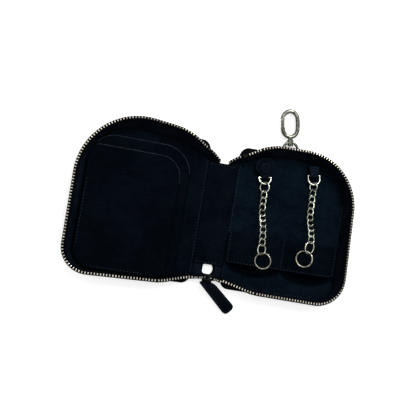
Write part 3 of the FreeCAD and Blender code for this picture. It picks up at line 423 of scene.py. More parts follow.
# painted highlight: a pale finish for sloping rims and the walls of pressed lines
paleEdgeHighlight = plainFinish("paleEdgeHighlight", (0.0030, 0.0054, 0.0086), (0.0090, 0.0130, 0.0180), 0.7, 500.0, 0.03)
beadDark = plainFinish("beadDark", (0.0010, 0.0014, 0.0022), (0.0026, 0.0034, 0.0048), 0.9, 900.0, 0.02)
tapeWeave = tapeFinish("tapeWeave", (0.0014, 0.0031, 0.0068), (0.0074, 0.0110, 0.0186))
threadNavy = plainFinish("threadNavy", (0.012, 0.020, 0.030), (0.030, 0.044, 0.060), 0.8, 2400.0, 0.05)
boardGrey = plainFinish("boardGrey", (0.02, 0.02, 0.022), (0.035, 0.034, 0.033), 0.9, 800.0, 0.1)
toothMetal = metalFinish("toothMetal", (0.62, 0.57, 0.46), (0.95, 0.92, 0.84), 0.24)
# near-black metal: painted shade on the teeth's flanks and feet, also used for the top stops
toothFlank = metalFinish("toothFlank", (0.014, 0.012, 0.010), (0.040, 0.036, 0.028), 0.45)
sliderMetal = plainFinish("sliderMetal", (0.0028, 0.0034, 0.0044), (0.011, 0.011, 0.012), 0.4, 500.0, 0.07)
# the last number of each of these paints tops lighter and sides darker: painted highlight and painted shade
chainMetal = metalFinish("chainMetal", (0.06, 0.055, 0.036), (0.84, 0.88, 0.74), 0.26, 150.0, 0.9)
keyMetal = metalFinish("keyMetal", (0.075, 0.066, 0.045), (0.50, 0.48, 0.39), 0.22, 380.0, 0.5)
hookMetal = metalFinish("hookMetal", (0.032, 0.033, 0.024), (0.29, 0.31, 0.26), 0.2, 420.0, 0.7)
capLacquer = plainFinish("capLacquer", (0.0014, 0.0037, 0.0074), (0.0034, 0.0076, 0.0144), 0.7, 300.0, 0.01)
snapMetal = metalFinish("snapMetal", (0.34, 0.33, 0.32), (0.52, 0.5, 0.48), 0.26)
print("finishes ready")


# floor, light and camera

photoView = {"right": (0.9684, 0.1614, 0.1901), "up": (-0.1650, 0.9863, 0.0030), "back": (-0.1870, -0.0343, 0.9818),
             "spot": (-0.0866, -0.00987, 0.42426), "lens": 52.62, "sensor": 36, "near": 0.01}
studio = {"sky": 0.4, "lowSky": 0.3, "keyPower": 7.0, "keySpot": (0.3, 0.62, 0.8), "keySize": 0.5,
          "fillPower": 1.4, "fillSpot": (-0.5, 0.4, 0.75), "fillSize": 0.9}
paper = {"size": 8, "drop": 0.05, "grain": 30.0, "rough": 0.9, "specular": 0.1, "glow": 0.64,
         "dark": (0.88, 0.88, 0.88), "light": (0.92, 0.92, 0.92)}

cameraData = bpy.data.cameras.new("photoCamera")
cameraData.lens = photoView["lens"]
cameraData.sensor_width = photoView["sensor"]
cameraData.clip_start = photoView["near"]
camera = bpy.data.objects.new("photoCamera", cameraData)
bpy.context.scene.collection.objects.link(camera)
turn = Matrix((photoView["right"], photoView["up"], photoView["back"])).transposed().to_quaternion()
camera.matrix_world = Matrix.Translation(photoView["spot"]) @ turn.to_matrix().to_4x4()
bpy.context.scene.camera = camera


def softLight(name, power, spot, size):
    clearSelection()
    bpy.ops.object.light_add(type="AREA", location=spot)
    lamp = bpy.context.object
    lamp.name = name
    lamp.data.energy = power
    lamp.data.shape = "DISK"
    lamp.data.size = size
    lamp.rotation_euler = (-Vector(spot)).to_track_quat("-Z", "Y").to_euler()


softLight("keyLight", studio["keyPower"], studio["keySpot"], studio["keySize"])
softLight("fillLight", studio["fillPower"], studio["fillSpot"], studio["fillSize"])

sky = bpy.context.scene.world or bpy.data.worlds.new("sky")
bpy.context.scene.world = sky
sky.use_nodes = True
skyTree = sky.node_tree
rays = skyTree.nodes.new("ShaderNodeLightPath")
heading = skyTree.nodes.new("ShaderNodeTexCoord")
apart = skyTree.nodes.new("ShaderNodeSeparateXYZ")
skyTree.links.new(heading.outputs["Generated"], apart.inputs[0])
height = Strand(skyTree, apart.outputs["Z"]).sum("MAXIMUM", 0.0)
straight, through, mirrored = (Strand(skyTree, rays.outputs["Is " + kind + " Ray"])
                               for kind in ("Camera", "Transmission", "Glossy"))
seen = straight.sum("MAXIMUM", through)
inMirrors = height * (1 - studio["lowSky"]) + studio["lowSky"]  # dimmer low down
above = mirrored * inMirrors + (1 - mirrored) * studio["sky"]
background = skyTree.nodes["Background"]
background.inputs["Color"].default_value = (1, 1, 1, 1)
skyTree.links.new((seen + (1 - seen) * above).socket, background.inputs["Strength"])

clearSelection()
bpy.ops.mesh.primitive_plane_add(size=paper["size"], location=(0, 0, -paper["drop"] * mm))
floor = bpy.context.object
floor.name = "floor"
floorFinish = Finish("floorPaper", Roughness=paper["rough"], Specular_IOR_Level=paper["specular"])
floorGrain = floorFinish.mottle(floorFinish.place(), paper["grain"])
floorFinish.feed(Base_Color=floorFinish.tint(floorGrain, paper["dark"], paper["light"]))
floorRays = floorFinish.node("LightPath")
glow = floorFinish.node("Emission", {}, {"Strength": floorRays * paper["glow"]})
lit = Strand(floorFinish.tree, floorFinish.shader.outputs[0])
together = floorFinish.node("AddShader", {}, {0: lit, 1: glow})
floorFinish.join(together, floorFinish.tree.nodes["Material Output"].inputs["Surface"])
floor.data.materials.append(floorFinish.material)
bpy.context.scene.view_settings.view_transform = "Standard"
print("studio ready")


# outer leather: each half runs on to the spine and is cut across where it meets the fold

outer = {"edgeRound": 0.5, "seamRound": 0.3, "seamReach": 10.95, "seamGap": 0.24, "foldSpan": (10.66, 14.4),
         "cutStart": 11.0, "foldCut": 0.4, "stripSpan": (9.0, 12.5), "stripFold": (9.6, 12.0),
         "stripEnds": (-43.0, 40.4), "stripThick": (1.45, 2.15)}


def makeOuter(side, sign):
    piece = copyPart("cover_" + side, "outerLeather_" + side)
    seamReach = outer["seamReach"] * mm
    openMesh(piece, "FACE", lambda face: sign * face.normal.x < -squareOn and abs(face.center.x) < seamReach)
    bpy.ops.transform.translate(value=(-sign * outer["seamGap"] * mm, 0, 0))  # on to the spine's edge
    closeMesh()
    roundEdges(piece, outer["edgeRound"])
    cutEnd = outer["foldSpan"][1] + outer["foldCut"]
    cutAcross(piece, 0, [sign * x for x in steps(outer["cutStart"], cutEnd, outer["foldCut"])])
    dress(piece, "cover_leather", outerLeather, "cover_" + side)
    side + "_half"
    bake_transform(piece)


def makeFoldStrip(side, sign):
    near, far = sorted(sign * x for x in outer["stripSpan"])
    (low, high), (floorSide, roomSide) = outer["stripEnds"], outer["stripThick"]
    piece = boxPiece("foldStrip_" + side, (near, low, floorSide), (far, high, roomSide))
    cutAcross(piece, 0, [sign * x for x in steps(*outer["stripSpan"], outer["foldCut"])[1:-1]])
    dress(piece, "cover_leather", outerLeather)
    near, far = (sign * x * mm for x in outer["stripFold"])
    side + "_half"
    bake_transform(piece)


for side, sign in halves:
    makeOuter(side, sign)
    makeFoldStrip(side, sign)
spineOuter = copyPart("spine_cover", "spineLeather")
roundEdges(spineOuter, outer["seamRound"])
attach(dress(spineOuter, "cover_leather", outerLeather, "spine_cover"), "spine")
print("outer leather done")


# lining: sunk along its stitches, with a little give between them

lining = {"edgeRound": 0.25, "cut": 3.0, "faceFrom": 2.7, "sink": 0.28, "sinkWidth": 1.6, "give": 0.12,
          "spineStitch": 11.75, "sideStitch": 93.2, "lowStitch": -48.0}
ripple = {"middle": 0.5, "size": 0.25,
          "long": (0.11, 1.3, 0.07), "wide": (0.13, 0.9, 0.09)}  # rate, drift and the drift's rate


def suedeWave(x, y):  # from 0 to 1
    rate, drift, driftRate = ripple["long"]
    first = math.sin(x * rate + drift * math.sin(y * driftRate))
    rate, drift, driftRate = ripple["wide"]
    second = math.sin(y * rate + drift * math.sin(x * driftRate))
    return ripple["middle"] + ripple["size"] * first + ripple["size"] * second


def liningShift(x, y, z):
    if z < lining["faceFrom"]:
        return (0, 0, 0)
    rows = (abs(abs(x) - lining["spineStitch"]), abs(abs(x) - lining["sideStitch"]), abs(y - lining["lowStitch"]))
    sunk = sum(math.exp(-(row / lining["sinkWidth"]) ** 2) for row in rows)
    return (0, 0, -lining["sink"] * min(sunk, 1) - lining["give"] * suedeWave(x, y))


def makeLining(nodeName, pieceName, body, finish):
    low, high = (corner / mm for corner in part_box(nodeName))
    piece = copyPart(nodeName, pieceName)
    roundEdges(piece, lining["edgeRound"], segments=2)
    for axis in (0, 1):
        cutAcross(piece, axis, steps(low[axis], high[axis], lining["cut"])[1:-1])
    moveCorners(piece, liningShift)
    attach(dress(piece, "suede", finish, nodeName), body)


makeLining("lining_left", "lining_left_suede", "left_half", spineSuede)
makeLining("lining_right", "lining_right_suede", "right_half", navySuede)
makeLining("spine_lining", "spine_suede", "spine", spineSuede)
print("lining done")


# card pockets: thin leaves that stand a little open along their free edges

pockets = {"edgeRound": 0.2, "topDepth": 0.2, "rim": 0.55, "sewn": 4.0, "paintedLight": 17.0, "cut": 3.5,
           "faceFrom": 0.45, "held": 3.2, "lift": 0.32, "liftReach": 9.0, "liftLeast": 0.6, "liftWave": 0.4,
           "waveFine": 2, "give": 0.1}


def makePocket(nodeName, pieceName):
    low, high = (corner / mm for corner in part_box(nodeName))
    piece = copyPart(nodeName, pieceName)
    for spare in (pocketSuede, edgePaintHighlight):
        piece.data.materials.append(spare.material)
    topFrom = (high.z - pockets["topDepth"]) * mm
    openMesh(piece, "FACE", lambda face: face.normal.z > squareOn and face.center.z > topFrom)
    piece.active_material_index = 1
    bpy.ops.object.material_slot_assign()
    bpy.ops.mesh.inset(thickness=pockets["rim"] * mm)
    piece.active_material_index = 0
    bpy.ops.object.material_slot_assign()
    closeMesh()
    roundEdges(piece, pockets["edgeRound"], segments=2)
    for axis in (0, 1):
        cutAcross(piece, axis, steps(low[axis], high[axis], pockets["cut"])[1:-1])
    for face in piece.data.polygons:  # sewn sides stay plain; the rim is pale edge paint and painted highlight, and the inner edge takes painted shadow below its corner
        if face.center.x < (low.x + pockets["sewn"]) * mm or face.center.y < (low.y + pockets["sewn"]) * mm:
            face.material_index = 0
        # below this reach from the top, the edge holds painted shadow for the gap between the leaves
        elif face.center.y < (high.y - pockets["paintedLight"]) * mm:
            face.material_index *= 2

    def leafShift(x, y, z):
        if z < low.z + pockets["faceFrom"] or x < low.x + pockets["held"] or y < low.y + pockets["held"]:
            return (0, 0, 0)
        inside = min(high.x - x, high.y - y)
        wave = suedeWave(x * pockets["waveFine"], y * pockets["waveFine"])
        lift = pockets["lift"] * math.exp(-inside / pockets["liftReach"])
        lift = lift * (pockets["liftLeast"] + pockets["liftWave"] * wave)
        return (0, 0, lift - pockets["give"] * suedeWave(y, x))

    moveCorners(piece, leafShift)
    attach(dressFaces(piece, "suede", [pocketSuede, edgePaintHighlight, paintedEdgeShadow], nodeName), "left_half")


makePocket("card_pocket_back", "cardLeaf_back")
makePocket("card_pocket_front", "cardLeaf_front")
print("card pockets done")


# zip: woven wall, teeth, and the ends that cross the folds to the spine

zipWall = {"cuts": (2.6, 4.0, 5.4, 6.8, 8.2, 9.6), "round": 0.15, "merge": 0.003, "rimFrom": 9, "wave": 0.12,
           "waveFine": 3, "stopRound": 0.35}
tooth = {"long": 1.0, "wide": 1.9, "tall": 2.2, "pitch": 2.04, "jawTall": 1.4, "jawRim": 0.12, "headLong": 0.86,
         "headWide": 0.82, "footRim": 0.2, "hollow": 0.25, "round": 0.14, "merge": 0.01, "flankFrom": 0.75,
         "footShare": 0.45}
cording = {"half": 1.5, "middle": 0.6, "tall": 1.8, "round": 0.35}


def makeTooth():
    clearSelection()
    bpy.ops.mesh.primitive_cube_add(size=1, location=(0, 0, tooth["jawTall"] / 2 * mm))
    piece = bpy.context.object
    piece.scale = (tooth["long"] * mm, tooth["wide"] * mm, tooth["jawTall"] * mm)
    applyPlace(piece)
    openMesh(piece, "FACE", lambda face: face.normal.z > squareOn)
    bpy.ops.mesh.inset(thickness=tooth["jawRim"] * mm)
    rise = (tooth["tall"] - tooth["jawTall"]) * mm
    bpy.ops.mesh.extrude_region_move(TRANSFORM_OT_translate={"value": (0, 0, rise)})
    bpy.ops.transform.resize(value=(tooth["headLong"], tooth["headWide"], 1))
    closeMesh()
    openMesh(piece, "FACE", lambda face: face.normal.z < -squareOn)
    bpy.ops.mesh.inset(thickness=tooth["footRim"] * mm)
    bpy.ops.transform.translate(value=(0, 0, tooth["hollow"] * mm))  # hollow between the jaws
    closeMesh()
    roundEdges(piece, tooth["round"], segments=1, angle=40)
    mergeCorners(piece, tooth["merge"])
    for spare in (toothMetal, toothFlank):
        piece.data.materials.append(spare.material)
    footTop = tooth["footShare"] * tooth["tall"] * mm
    for face in piece.data.polygons:  # painted shade: dark flanks and foot stand in for the shade between the teeth
        face.material_index = int(abs(face.normal.x) > tooth["flankFrom"] or face.center.z < footTop)
    return piece


def makeBead(places, pieceName):  # corded edge of the tape that runs through the feet of the teeth
    half = Matrix.Translation((tooth["pitch"] / 2 * mm, 0, 0))
    places = [places[0] @ half.inverted()] + places + [places[-1] @ half]
    clearSelection()
    bpy.ops.mesh.primitive_grid_add(x_subdivisions=len(places) - 1, y_subdivisions=1, size=1)
    piece = bpy.context.object
    piece.name = pieceName
    for corner in piece.data.vertices:
        place = places[round((corner.co.x + 0.5) * (len(places) - 1))]
        corner.co = place @ (Vector((0, 2 * corner.co.y * cording["half"], cording["middle"])) * mm)
    useModifier(piece, "SOLIDIFY", thickness=cording["tall"] * mm, offset=0)
    roundEdges(piece, cording["round"], segments=2, angle=60)
    faceOutwards(piece)
    return dress(piece, "tape", beadDark)


def toothPlaces(nodeName):  # middle of each tooth's foot and its directions, along the row
    piece = copyPart(nodeName, "toothRow")
    mesh = piece.data
    links = {corner.index: [] for corner in mesh.vertices}
    for edge in mesh.edges:
        first, second = edge.vertices
        links[first].append(second)
        links[second].append(first)
    places, done = [], set()
    for start in links:
        if start in done:
            continue
        block, fresh = {start}, [start]
        while fresh:
            fresh = [k for corner in fresh for k in links[corner] if k not in block]
            block.update(fresh)
        done |= block
        middle = sum((mesh.vertices[k].co for k in block), Vector()) / len(block)
        ways = [mesh.vertices[k].co - mesh.vertices[start].co for k in links[start]]
        ways.sort(key=lambda way: way.length)  # the shortest edge runs along the row, the third one up
        along, up = ways[0].normalized(), ways[2].normalized()
        up = up if up.z > 0 else -up
        places.append(turnedTo(along, up.cross(along), up, middle - up * tooth["tall"] / 2 * mm))
    putAway(piece)
    onward = [following.translation - here.translation for here, following in zip(places, places[1:])]
    about = Matrix.Rotation(math.pi, 4, "Z")
    return [place if place.col[0].to_3d().dot(way) > 0 else place @ about  # all one way along the row
            for place, way in zip(places, onward + onward[-1:])]


def mapRun(piece, rail):  # tape's own map: way along the row of teeth, and height
    points = np.array([spot[:] for spot in rail])
    strides = points[1:, :2] - points[:-1, :2]
    lengths = np.linalg.norm(strides, axis=1)
    starts = np.concatenate(([0.0], np.cumsum(lengths)[:-1]))
    corners = np.array([corner.co[:] for corner in piece.data.vertices])
    gaps = corners[:, None, :2] - points[None, :-1, :2]
    share = np.clip((gaps * strides).sum(2) / lengths ** 2, 0, 1)
    away = np.linalg.norm(gaps - share[..., None] * strides, axis=2)
    nearest = away.argmin(1)
    run = starts[nearest] + share[np.arange(len(corners)), nearest] * lengths[nearest]
    layer = piece.data.uv_layers.new(name="tapeRun")
    for loop in piece.data.loops:
        layer.data[loop.index].uv = (run[loop.vertex_index], corners[loop.vertex_index][2])


def wallShift(x, y, z):
    wave = suedeWave(x * zipWall["waveFine"], y * zipWall["waveFine"])
    return (0, 0, -zipWall["wave"] * wave if z > zipWall["rimFrom"] else 0)


toothPattern = makeTooth()
toothRows = {side: toothPlaces("zip_teeth_" + side) for side in ("left", "right")}
for side, places in toothRows.items():
    wall = copyPart("zip_tape_" + side, "zipWall_" + side, False)
    cutAcross(wall, 2, zipWall["cuts"])
    roundEdges(wall, zipWall["round"], segments=1, angle=60)
    mergeCorners(wall, zipWall["merge"])
    moveCorners(wall, wallShift)
    dress(wall, "tape", tapeWeave, "zip_tape_" + side)
    mapRun(wall, [place.translation for place in places])
    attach(wall, side + "_half")
    row = copyAlong(toothPattern, places, "teeth_" + side)
    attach(dressFaces(row, "zip_metal", [toothMetal, toothFlank], "zip_teeth_" + side, smooth=30), side + "_half")
    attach(makeBead(places, "tapeBead_" + side), side + "_half")
    stop = copyPart("top_stop_" + side, "rowStop_" + side)
    roundEdges(stop, zipWall["stopRound"], segments=3)
    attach(dress(stop, "zip_metal", toothFlank, "top_stop_" + side), side + "_half")

# short tapes over the folds: foot and rim points from the half's wall to the spine, for the left side
foldTape = {
    "low": {"foot": [(-12.3, -43.6, 1.7), (-8.0, -41.8, 1.8), (-4.2, -41.7, 1.9), (-1.4, -41.8, 1.9)],
            "rim": [(-12.3, -44.4, 4.9), (-8.0, -43.5, 4.4), (-4.2, -43.0, 4.9), (-1.4, -43.0, 5.9)]},
    "top": {"foot": [(-12.3, 40.8, 1.7), (-9.0, 39.0, 1.8), (-6.0, 37.5, 1.8), (-3.2, 36.6, 1.8)],
            "rim": [(-12.3, 44.0, 6.9), (-9.0, 42.3, 5.6), (-6.0, 40.0, 4.4), (-3.2, 37.8, 3.2)]}}
foldRun = {"sliderShift": 1.2, "shiftFrom": 2, "grid": (14, 3), "mapSize": (10, 4), "thick": 0.7,
           "span": (8.6, 12.4), "start": 1.7, "endGap": 0.3, "look": 0.05, "rise": 0.1}


def alongLine(points, share):
    place = share * (len(points) - 1)
    k = max(min(int(place), len(points) - 2), 0)
    return Vector(points[k]).lerp(Vector(points[k + 1]), place - k)


def shareAt(points, distance):  # where along the line of points a distance from its start lies
    for k, (here, following) in enumerate(zip(points, points[1:])):
        step = (Vector(following) - Vector(here)).length
        if distance <= step:
            return (k + distance / step) / (len(points) - 1)
        distance -= step
    return 1.0


def foldLine(sign, end, edge):  # low ends meet at the slider, a little off the middle
    points = []
    for k, (x, y, z) in enumerate(foldTape[end][edge]):
        shift = foldRun["sliderShift"] if end == "low" and k >= foldRun["shiftFrom"] else 0
        points.append((-sign * x + shift, y, z))
    return points


def foldToothPlaces(foot, rim):
    length = sum((Vector(a) - Vector(b)).length for a, b in zip(rim, rim[1:]))
    count = int((length - foldRun["start"] - foldRun["endGap"]) / tooth["pitch"]) + 1
    places = []
    for k in range(count):
        share = shareAt(rim, foldRun["start"] + k * tooth["pitch"])
        spot = alongLine(rim, share)
        ahead, behind = alongLine(rim, min(share + foldRun["look"], 1)), alongLine(rim, share - foldRun["look"])
        along = (ahead - behind).normalized()
        up = (spot - alongLine(foot, share)).normalized()
        across = up.cross(along).normalized()
        up = along.cross(across)
        places.append(turnedTo(along, across, up, (spot + up * foldRun["rise"]) * mm))
    return places


def makeFoldTape(side, sign, end):
    foot, rim = (foldLine(sign, end, edge) for edge in ("foot", "rim"))
    ending = end + "_" + side
    clearSelection()
    bpy.ops.mesh.primitive_grid_add(x_subdivisions=foldRun["grid"][0], y_subdivisions=foldRun["grid"][1], size=1)
    tape = bpy.context.object
    tape.name = "foldTape_" + ending
    layer = tape.data.uv_layers.new(name="tapeRun")
    mapLong, mapTall = foldRun["mapSize"]
    spots = [(corner.co.x + 0.5, corner.co.y + 0.5) for corner in tape.data.vertices]
    for loop in tape.data.loops:
        run, rise = spots[loop.vertex_index]
        layer.data[loop.index].uv = (run * mapLong * mm, rise * mapTall * mm)
    for corner, (run, rise) in zip(tape.data.vertices, spots):
        corner.co = alongLine(foot, run).lerp(alongLine(rim, run), rise) * mm
    useModifier(tape, "SOLIDIFY", thickness=foldRun["thick"] * mm, offset=0)
    faceOutwards(tape)
    dress(tape, "tape", tapeWeave)
    places = foldToothPlaces(foot, rim)
    row = copyAlong(toothPattern, places, "foldTeeth_" + ending)
    dressFaces(row, "zip_metal", [toothMetal, toothFlank], smooth=30)
    bead = makeBead(places, "foldBead_" + ending)
    for piece in (tape, row, bead):
        side + "_half"
        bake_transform(piece)


for side, sign in halves:
    for end in ("low", "top"):
        makeFoldTape(side, sign, end)
putAway(toothPattern)

tapeEnds = {"round": 0.2, "cuts": (-40, -38, -36, -34, -32, 36, 38), "row": -43, "rowReach": 12, "rowStep": 2,
            "patch": ((-5.4, -42.4, 1.5), (5.8, -33.0, 2.1)),
            "eyeSpot": (0.2, -37.6, 2), "eyeRadius": 4.0, "eyeDepth": 4, "eyeSides": 40,
            "nose": ((-2.4, -48.4, 1.7), (4.8, -44.9, 2.6)), "noseRound": 0.3}
tails = copyPart("zip_end_tapes", "tapeTails")
roundEdges(tails, tapeEnds["round"], segments=2)
cutAcross(tails, 1, tapeEnds["cuts"])
dress(tails, "tape", tapeWeave, "zip_end_tapes")
rowSpots = range(-tapeEnds["rowReach"], tapeEnds["rowReach"] + 1, tapeEnds["rowStep"])
mapRun(tails, [Vector((x * mm, tapeEnds["row"] * mm, 0)) for x in rowSpots])
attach(tails, "spine")
patch = boxPiece("tailPatch", *tapeEnds["patch"])  # joins the tails round the eye above the slider
clearSelection()
bpy.ops.mesh.primitive_cylinder_add(vertices=tapeEnds["eyeSides"], radius=tapeEnds["eyeRadius"] * mm,
                                    depth=tapeEnds["eyeDepth"] * mm, location=Vector(tapeEnds["eyeSpot"]) * mm)
eyeCutter = bpy.context.object
useModifier(patch, "BOOLEAN", object=eyeCutter, operation="DIFFERENCE")
putAway(eyeCutter)
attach(dress(patch, "tape", beadDark), "spine")
for nodeName, pieceName, width in (("zip_end_teeth", "lastTeeth", 0.15), ("zip_bottom_stop", "rowFoot", 0.25)):
    piece = copyPart(nodeName, pieceName)
    roundEdges(piece, width, segments=2)
    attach(dress(piece, "zip_metal", toothMetal, nodeName), "spine")
slider = copyPart("zip_slider", "slider", False)
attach(dress(slider, "zip_metal", sliderMetal, "zip_slider"), "slider")
nose = boxPiece("sliderNose", *tapeEnds["nose"])  # plate under the crown
roundEdges(nose, tapeEnds["noseRound"], segments=3)
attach(dress(nose, "zip_metal", sliderMetal), "slider")
print("zip done")


# pull: leather slip with a pressed line, reaching back to the slider on both sides of the wire loop

pull = {"halfTop": 4.4, "halfTip": 4.6, "back": -5.2, "backRight": 3.3, "rightIn": 1.0,
        "tipRound": 3.3, "tipSteps": 7, "tipReach": 0.1, "topRound": 2.6, "topSteps": 4, "topReach": 4,
        "line": 1.0, "lineWidth": 0.25, "lineDepth": 0.16, "lineSlope": (0.3, 0.95), "edgeRound": 0.45,
        "slot": (-1.1, 1.9), "slotStart": -9, "slotEnd": 0.9, "slotRoom": 1,
        "bend": (-1.0, 1.8), "cut": 0.45, "merge": 0.005}
upright = 0.97  # an edge stands from this share of its direction
joints = {joint["name"]: joint for joint in frame["joints"]}
swing, flop = (Vector(joints[name]["pos_m"]) for name in ("pull_swing", "pull_flop"))
across = Vector(joints["pull_swing"]["axis"])
along = (flop - swing).normalized()
pullPlace = turnedTo(along, across, along.cross(across), swing)
bar = (flop - swing).length / mm
spots = [pullPlace.inverted() @ corner.co / mm for corner in frame["nodes"]["pull_tab"].data.vertices]
tabEnd = max(spot.x for spot in spots)
under, over = min(spot.z for spot in spots), max(spot.z for spot in spots)


def uprightEdge(piece, test):  # picks upright edges by the place of one end, in mm
    corners = piece.data.vertices

    def wanted(edge):
        first, second = (corners[k].co for k in edge.vertices)
        return abs((first - second).normalized().z) > upright and test(first / mm)
    return wanted


slip = boxPiece("pullLeather", (pull["back"], -pull["halfTip"], under), (tabEnd, pull["halfTip"], over))
openMesh(slip, "VERT", lambda corner: corner.co.x < 0)
bpy.ops.transform.resize(value=(1, pull["halfTop"] / pull["halfTip"], 1), center_override=(0, 0, 0))
closeMesh()
openMesh(slip, "VERT", lambda corner: corner.co.x < 0 and corner.co.y > 0)  # end cut along the slider's face
bpy.ops.transform.translate(value=((pull["backRight"] - pull["back"]) * mm, -pull["rightIn"] * mm, 0))
closeMesh()
openMesh(slip, "EDGE", uprightEdge(slip, lambda spot: spot.x > tabEnd - pull["tipReach"]))
bpy.ops.mesh.bevel(offset=pull["tipRound"] * mm, segments=pull["tipSteps"])
closeMesh()
openMesh(slip, "FACE", lambda face: face.normal.z > squareOn)
bpy.ops.mesh.inset(thickness=pull["line"] * mm)
for way in (-1, 1):  # down into the pressed line and up again
    bpy.ops.mesh.inset(thickness=pull["lineWidth"] * mm, depth=way * pull["lineDepth"] * mm)
closeMesh()
for face in slip.data.polygons:  # walls of the pressed line are painted paler, a painted highlight
    face.material_index = int(pull["lineSlope"][0] < face.normal.z < pull["lineSlope"][1])
for sign in (1, -1):
    openMesh(slip, "EDGE", uprightEdge(slip, lambda spot: spot.x < pull["topReach"] and spot.y * sign > 0))
    bpy.ops.mesh.bevel(offset=pull["topRound"] * mm, segments=pull["topSteps"])
    closeMesh()
roundEdges(slip, pull["edgeRound"], segments=3, angle=60)
slotCutter = boxPiece("slotCutter", (pull["slotStart"], pull["slot"][0], under - pull["slotRoom"]),
                      (pull["slotEnd"], pull["slot"][1], over + pull["slotRoom"]))
useModifier(slip, "BOOLEAN", object=slotCutter, operation="DIFFERENCE", solver="MANIFOLD")
putAway(slotCutter)
cutAcross(slip, 0, [bar + x for x in steps(*pull["bend"], pull["cut"])])
mergeCorners(slip, pull["merge"])
slip.data.transform(pullPlace)
dressFaces(slip, "pull_leather", [pullLeather, paleEdgeHighlight], "pull_tab", smooth=35)
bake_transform(slip)
print("pull done")


# band with two arched loops

band = {"edgeRound": 0.3, "cut": 2.8, "low": -30.8, "top": -8.4, "base": 4.2,
        "spans": ((14.25, 51.45), (54.05, 91.25)), "rise": 4.9}


def bandHeight(x):
    for start, end in band["spans"]:
        if start < x < end:
            half, middle = (end - start) / 2, (start + end) / 2
            radius = (half ** 2 + band["rise"] ** 2) / (2 * band["rise"])
            return band["base"] + math.sqrt(radius ** 2 - (x - middle) ** 2) - radius + band["rise"]
    return band["base"]


strip = copyPart("key_band", "keyBand_suede")
roundEdges(strip, band["edgeRound"], segments=2, angle=60)
cutAcross(strip, 1, steps(band["low"], band["top"], band["cut"])[1:-1])
dress(strip, "suede", bandSuede, "key_band")
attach(strip, "right_half")
print("band done")


# snap tab, plain loop and hook strap

straps = {"edgeRound": 0.35, "cornerRound": 1.3, "cornerSteps": 4, "rimSlope": (0.15, 0.97), "capRing": (3.3, 3.9),
          "loopRound": 0.5, "hookRound": 0.25}
tabFold = {"inner": 0.7, "outer": 1.7, "half": 3.25, "steps": 10, "merge": 0.001, "round": 0.2,
           "spot": (30.6, 33.2, 4.7), "lean": 9.0, "bend": 1.4}
flap = copyPart("snap_flap", "snapFlap_suede")
openMesh(flap, "EDGE", uprightEdge(flap, lambda spot: True))
bpy.ops.mesh.bevel(offset=straps["cornerRound"] * mm, segments=straps["cornerSteps"])
closeMesh()
roundEdges(flap, straps["edgeRound"], segments=3, angle=60)
for face in flap.data.polygons:  # pale rounded rim: painted highlight on the sloping edge faces
    face.material_index = int(straps["rimSlope"][0] < face.normal.z < straps["rimSlope"][1])
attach(dressFaces(flap, "suede", [tabSuede, paleEdgeHighlight], "snap_flap"), "snap")
cap = copyPart("snap_cap", "snapCap", False)
capLow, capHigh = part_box("snap_cap")
for face in cap.data.polygons:
    reach = (face.center - (capLow + capHigh) / 2).to_2d().length / mm
    face.material_index = sum(reach > limit for limit in straps["capRing"])  # painted highlight ring, then painted shadow at the edge
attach(dressFaces(cap, "snap_metal", [capLacquer, paleEdgeHighlight, paintedEdgeShadow], "snap_cap"), "snap")
tabBase = copyPart("snap_tab_base", "snapBase_suede")
roundEdges(tabBase, straps["edgeRound"], segments=3)
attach(dress(tabBase, "suede", bandSuede, "snap_tab_base"), "right_half")

clearSelection()
bpy.ops.mesh.primitive_plane_add(size=1)  # the tab's turn round the bar of its ring, spun from a strip
turnPiece = bpy.context.object
turnPiece.name = "snapFold_suede"
turnPiece.scale = (2 * tabFold["half"] * mm, (tabFold["outer"] - tabFold["inner"]) * mm, 1)
turnPiece.location = (0, (tabFold["inner"] + tabFold["outer"]) / 2 * mm, 0)
applyPlace(turnPiece)
openMesh(turnPiece)
bpy.ops.transform.rotate(value=math.radians(-90), orient_axis="X", center_override=(0, 0, 0))
bpy.ops.mesh.spin(steps=tabFold["steps"], angle=math.radians(180), center=(0, 0, 0), axis=(1, 0, 0))
closeMesh()
mergeCorners(turnPiece, tabFold["merge"])
faceOutwards(turnPiece)
leaning = Matrix.Rotation(math.radians(tabFold["lean"]), 4, "Z")
turnPiece.data.transform(Matrix.Translation(Vector(tabFold["spot"]) * mm) @ leaning)
roundEdges(turnPiece, tabFold["round"], segments=2, angle=60)
dress(turnPiece, "suede", bandSuede)
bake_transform(turnPiece)

loop = copyPart("key_loop", "keyLoop_suede")
roundEdges(loop, straps["loopRound"], segments=3, angle=60)
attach(dress(loop, "suede", loopSuede, "key_loop"), "right_half")
hookStrap = copyPart("hook_tab", "hookStrap_leather")
roundEdges(hookStrap, straps["hookRound"], segments=2, angle=60)
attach(dress(hookStrap, "cover_leather", outerLeather, "hook_tab"), "right_half")
print("straps done")


# metal parts and inner boards keep their shape and get their finish

kept = {
    chainMetal: ["d_ring_left", "d_ring_right", "upper_jump_ring_left", "upper_jump_ring_right",
                 "chain_upper_left", "chain_upper_right", "chain_lower_left", "chain_lower_right",
                 "lower_jump_ring_left", "lower_jump_ring_right"],
    keyMetal: ["key_ring_left", "key_ring_right"],
    hookMetal: ["hook_eye", "swivel_post", "hook_ring", "hook_gate", "gate_spring", "gate_pin"],
    sliderMetal: ["pull_link"],
    snapMetal: ["snap_stud", "snap_socket"],
    boardGrey: ["spine_stiffener", "stiffener_left", "stiffener_right"]}
for finish, nodeNames in kept.items():
    for nodeName in nodeNames:
        frame["nodes"][nodeName].data.materials.clear()
        frame["nodes"][nodeName].data.materials.append(finish.material)
print("metal done")


# stitches

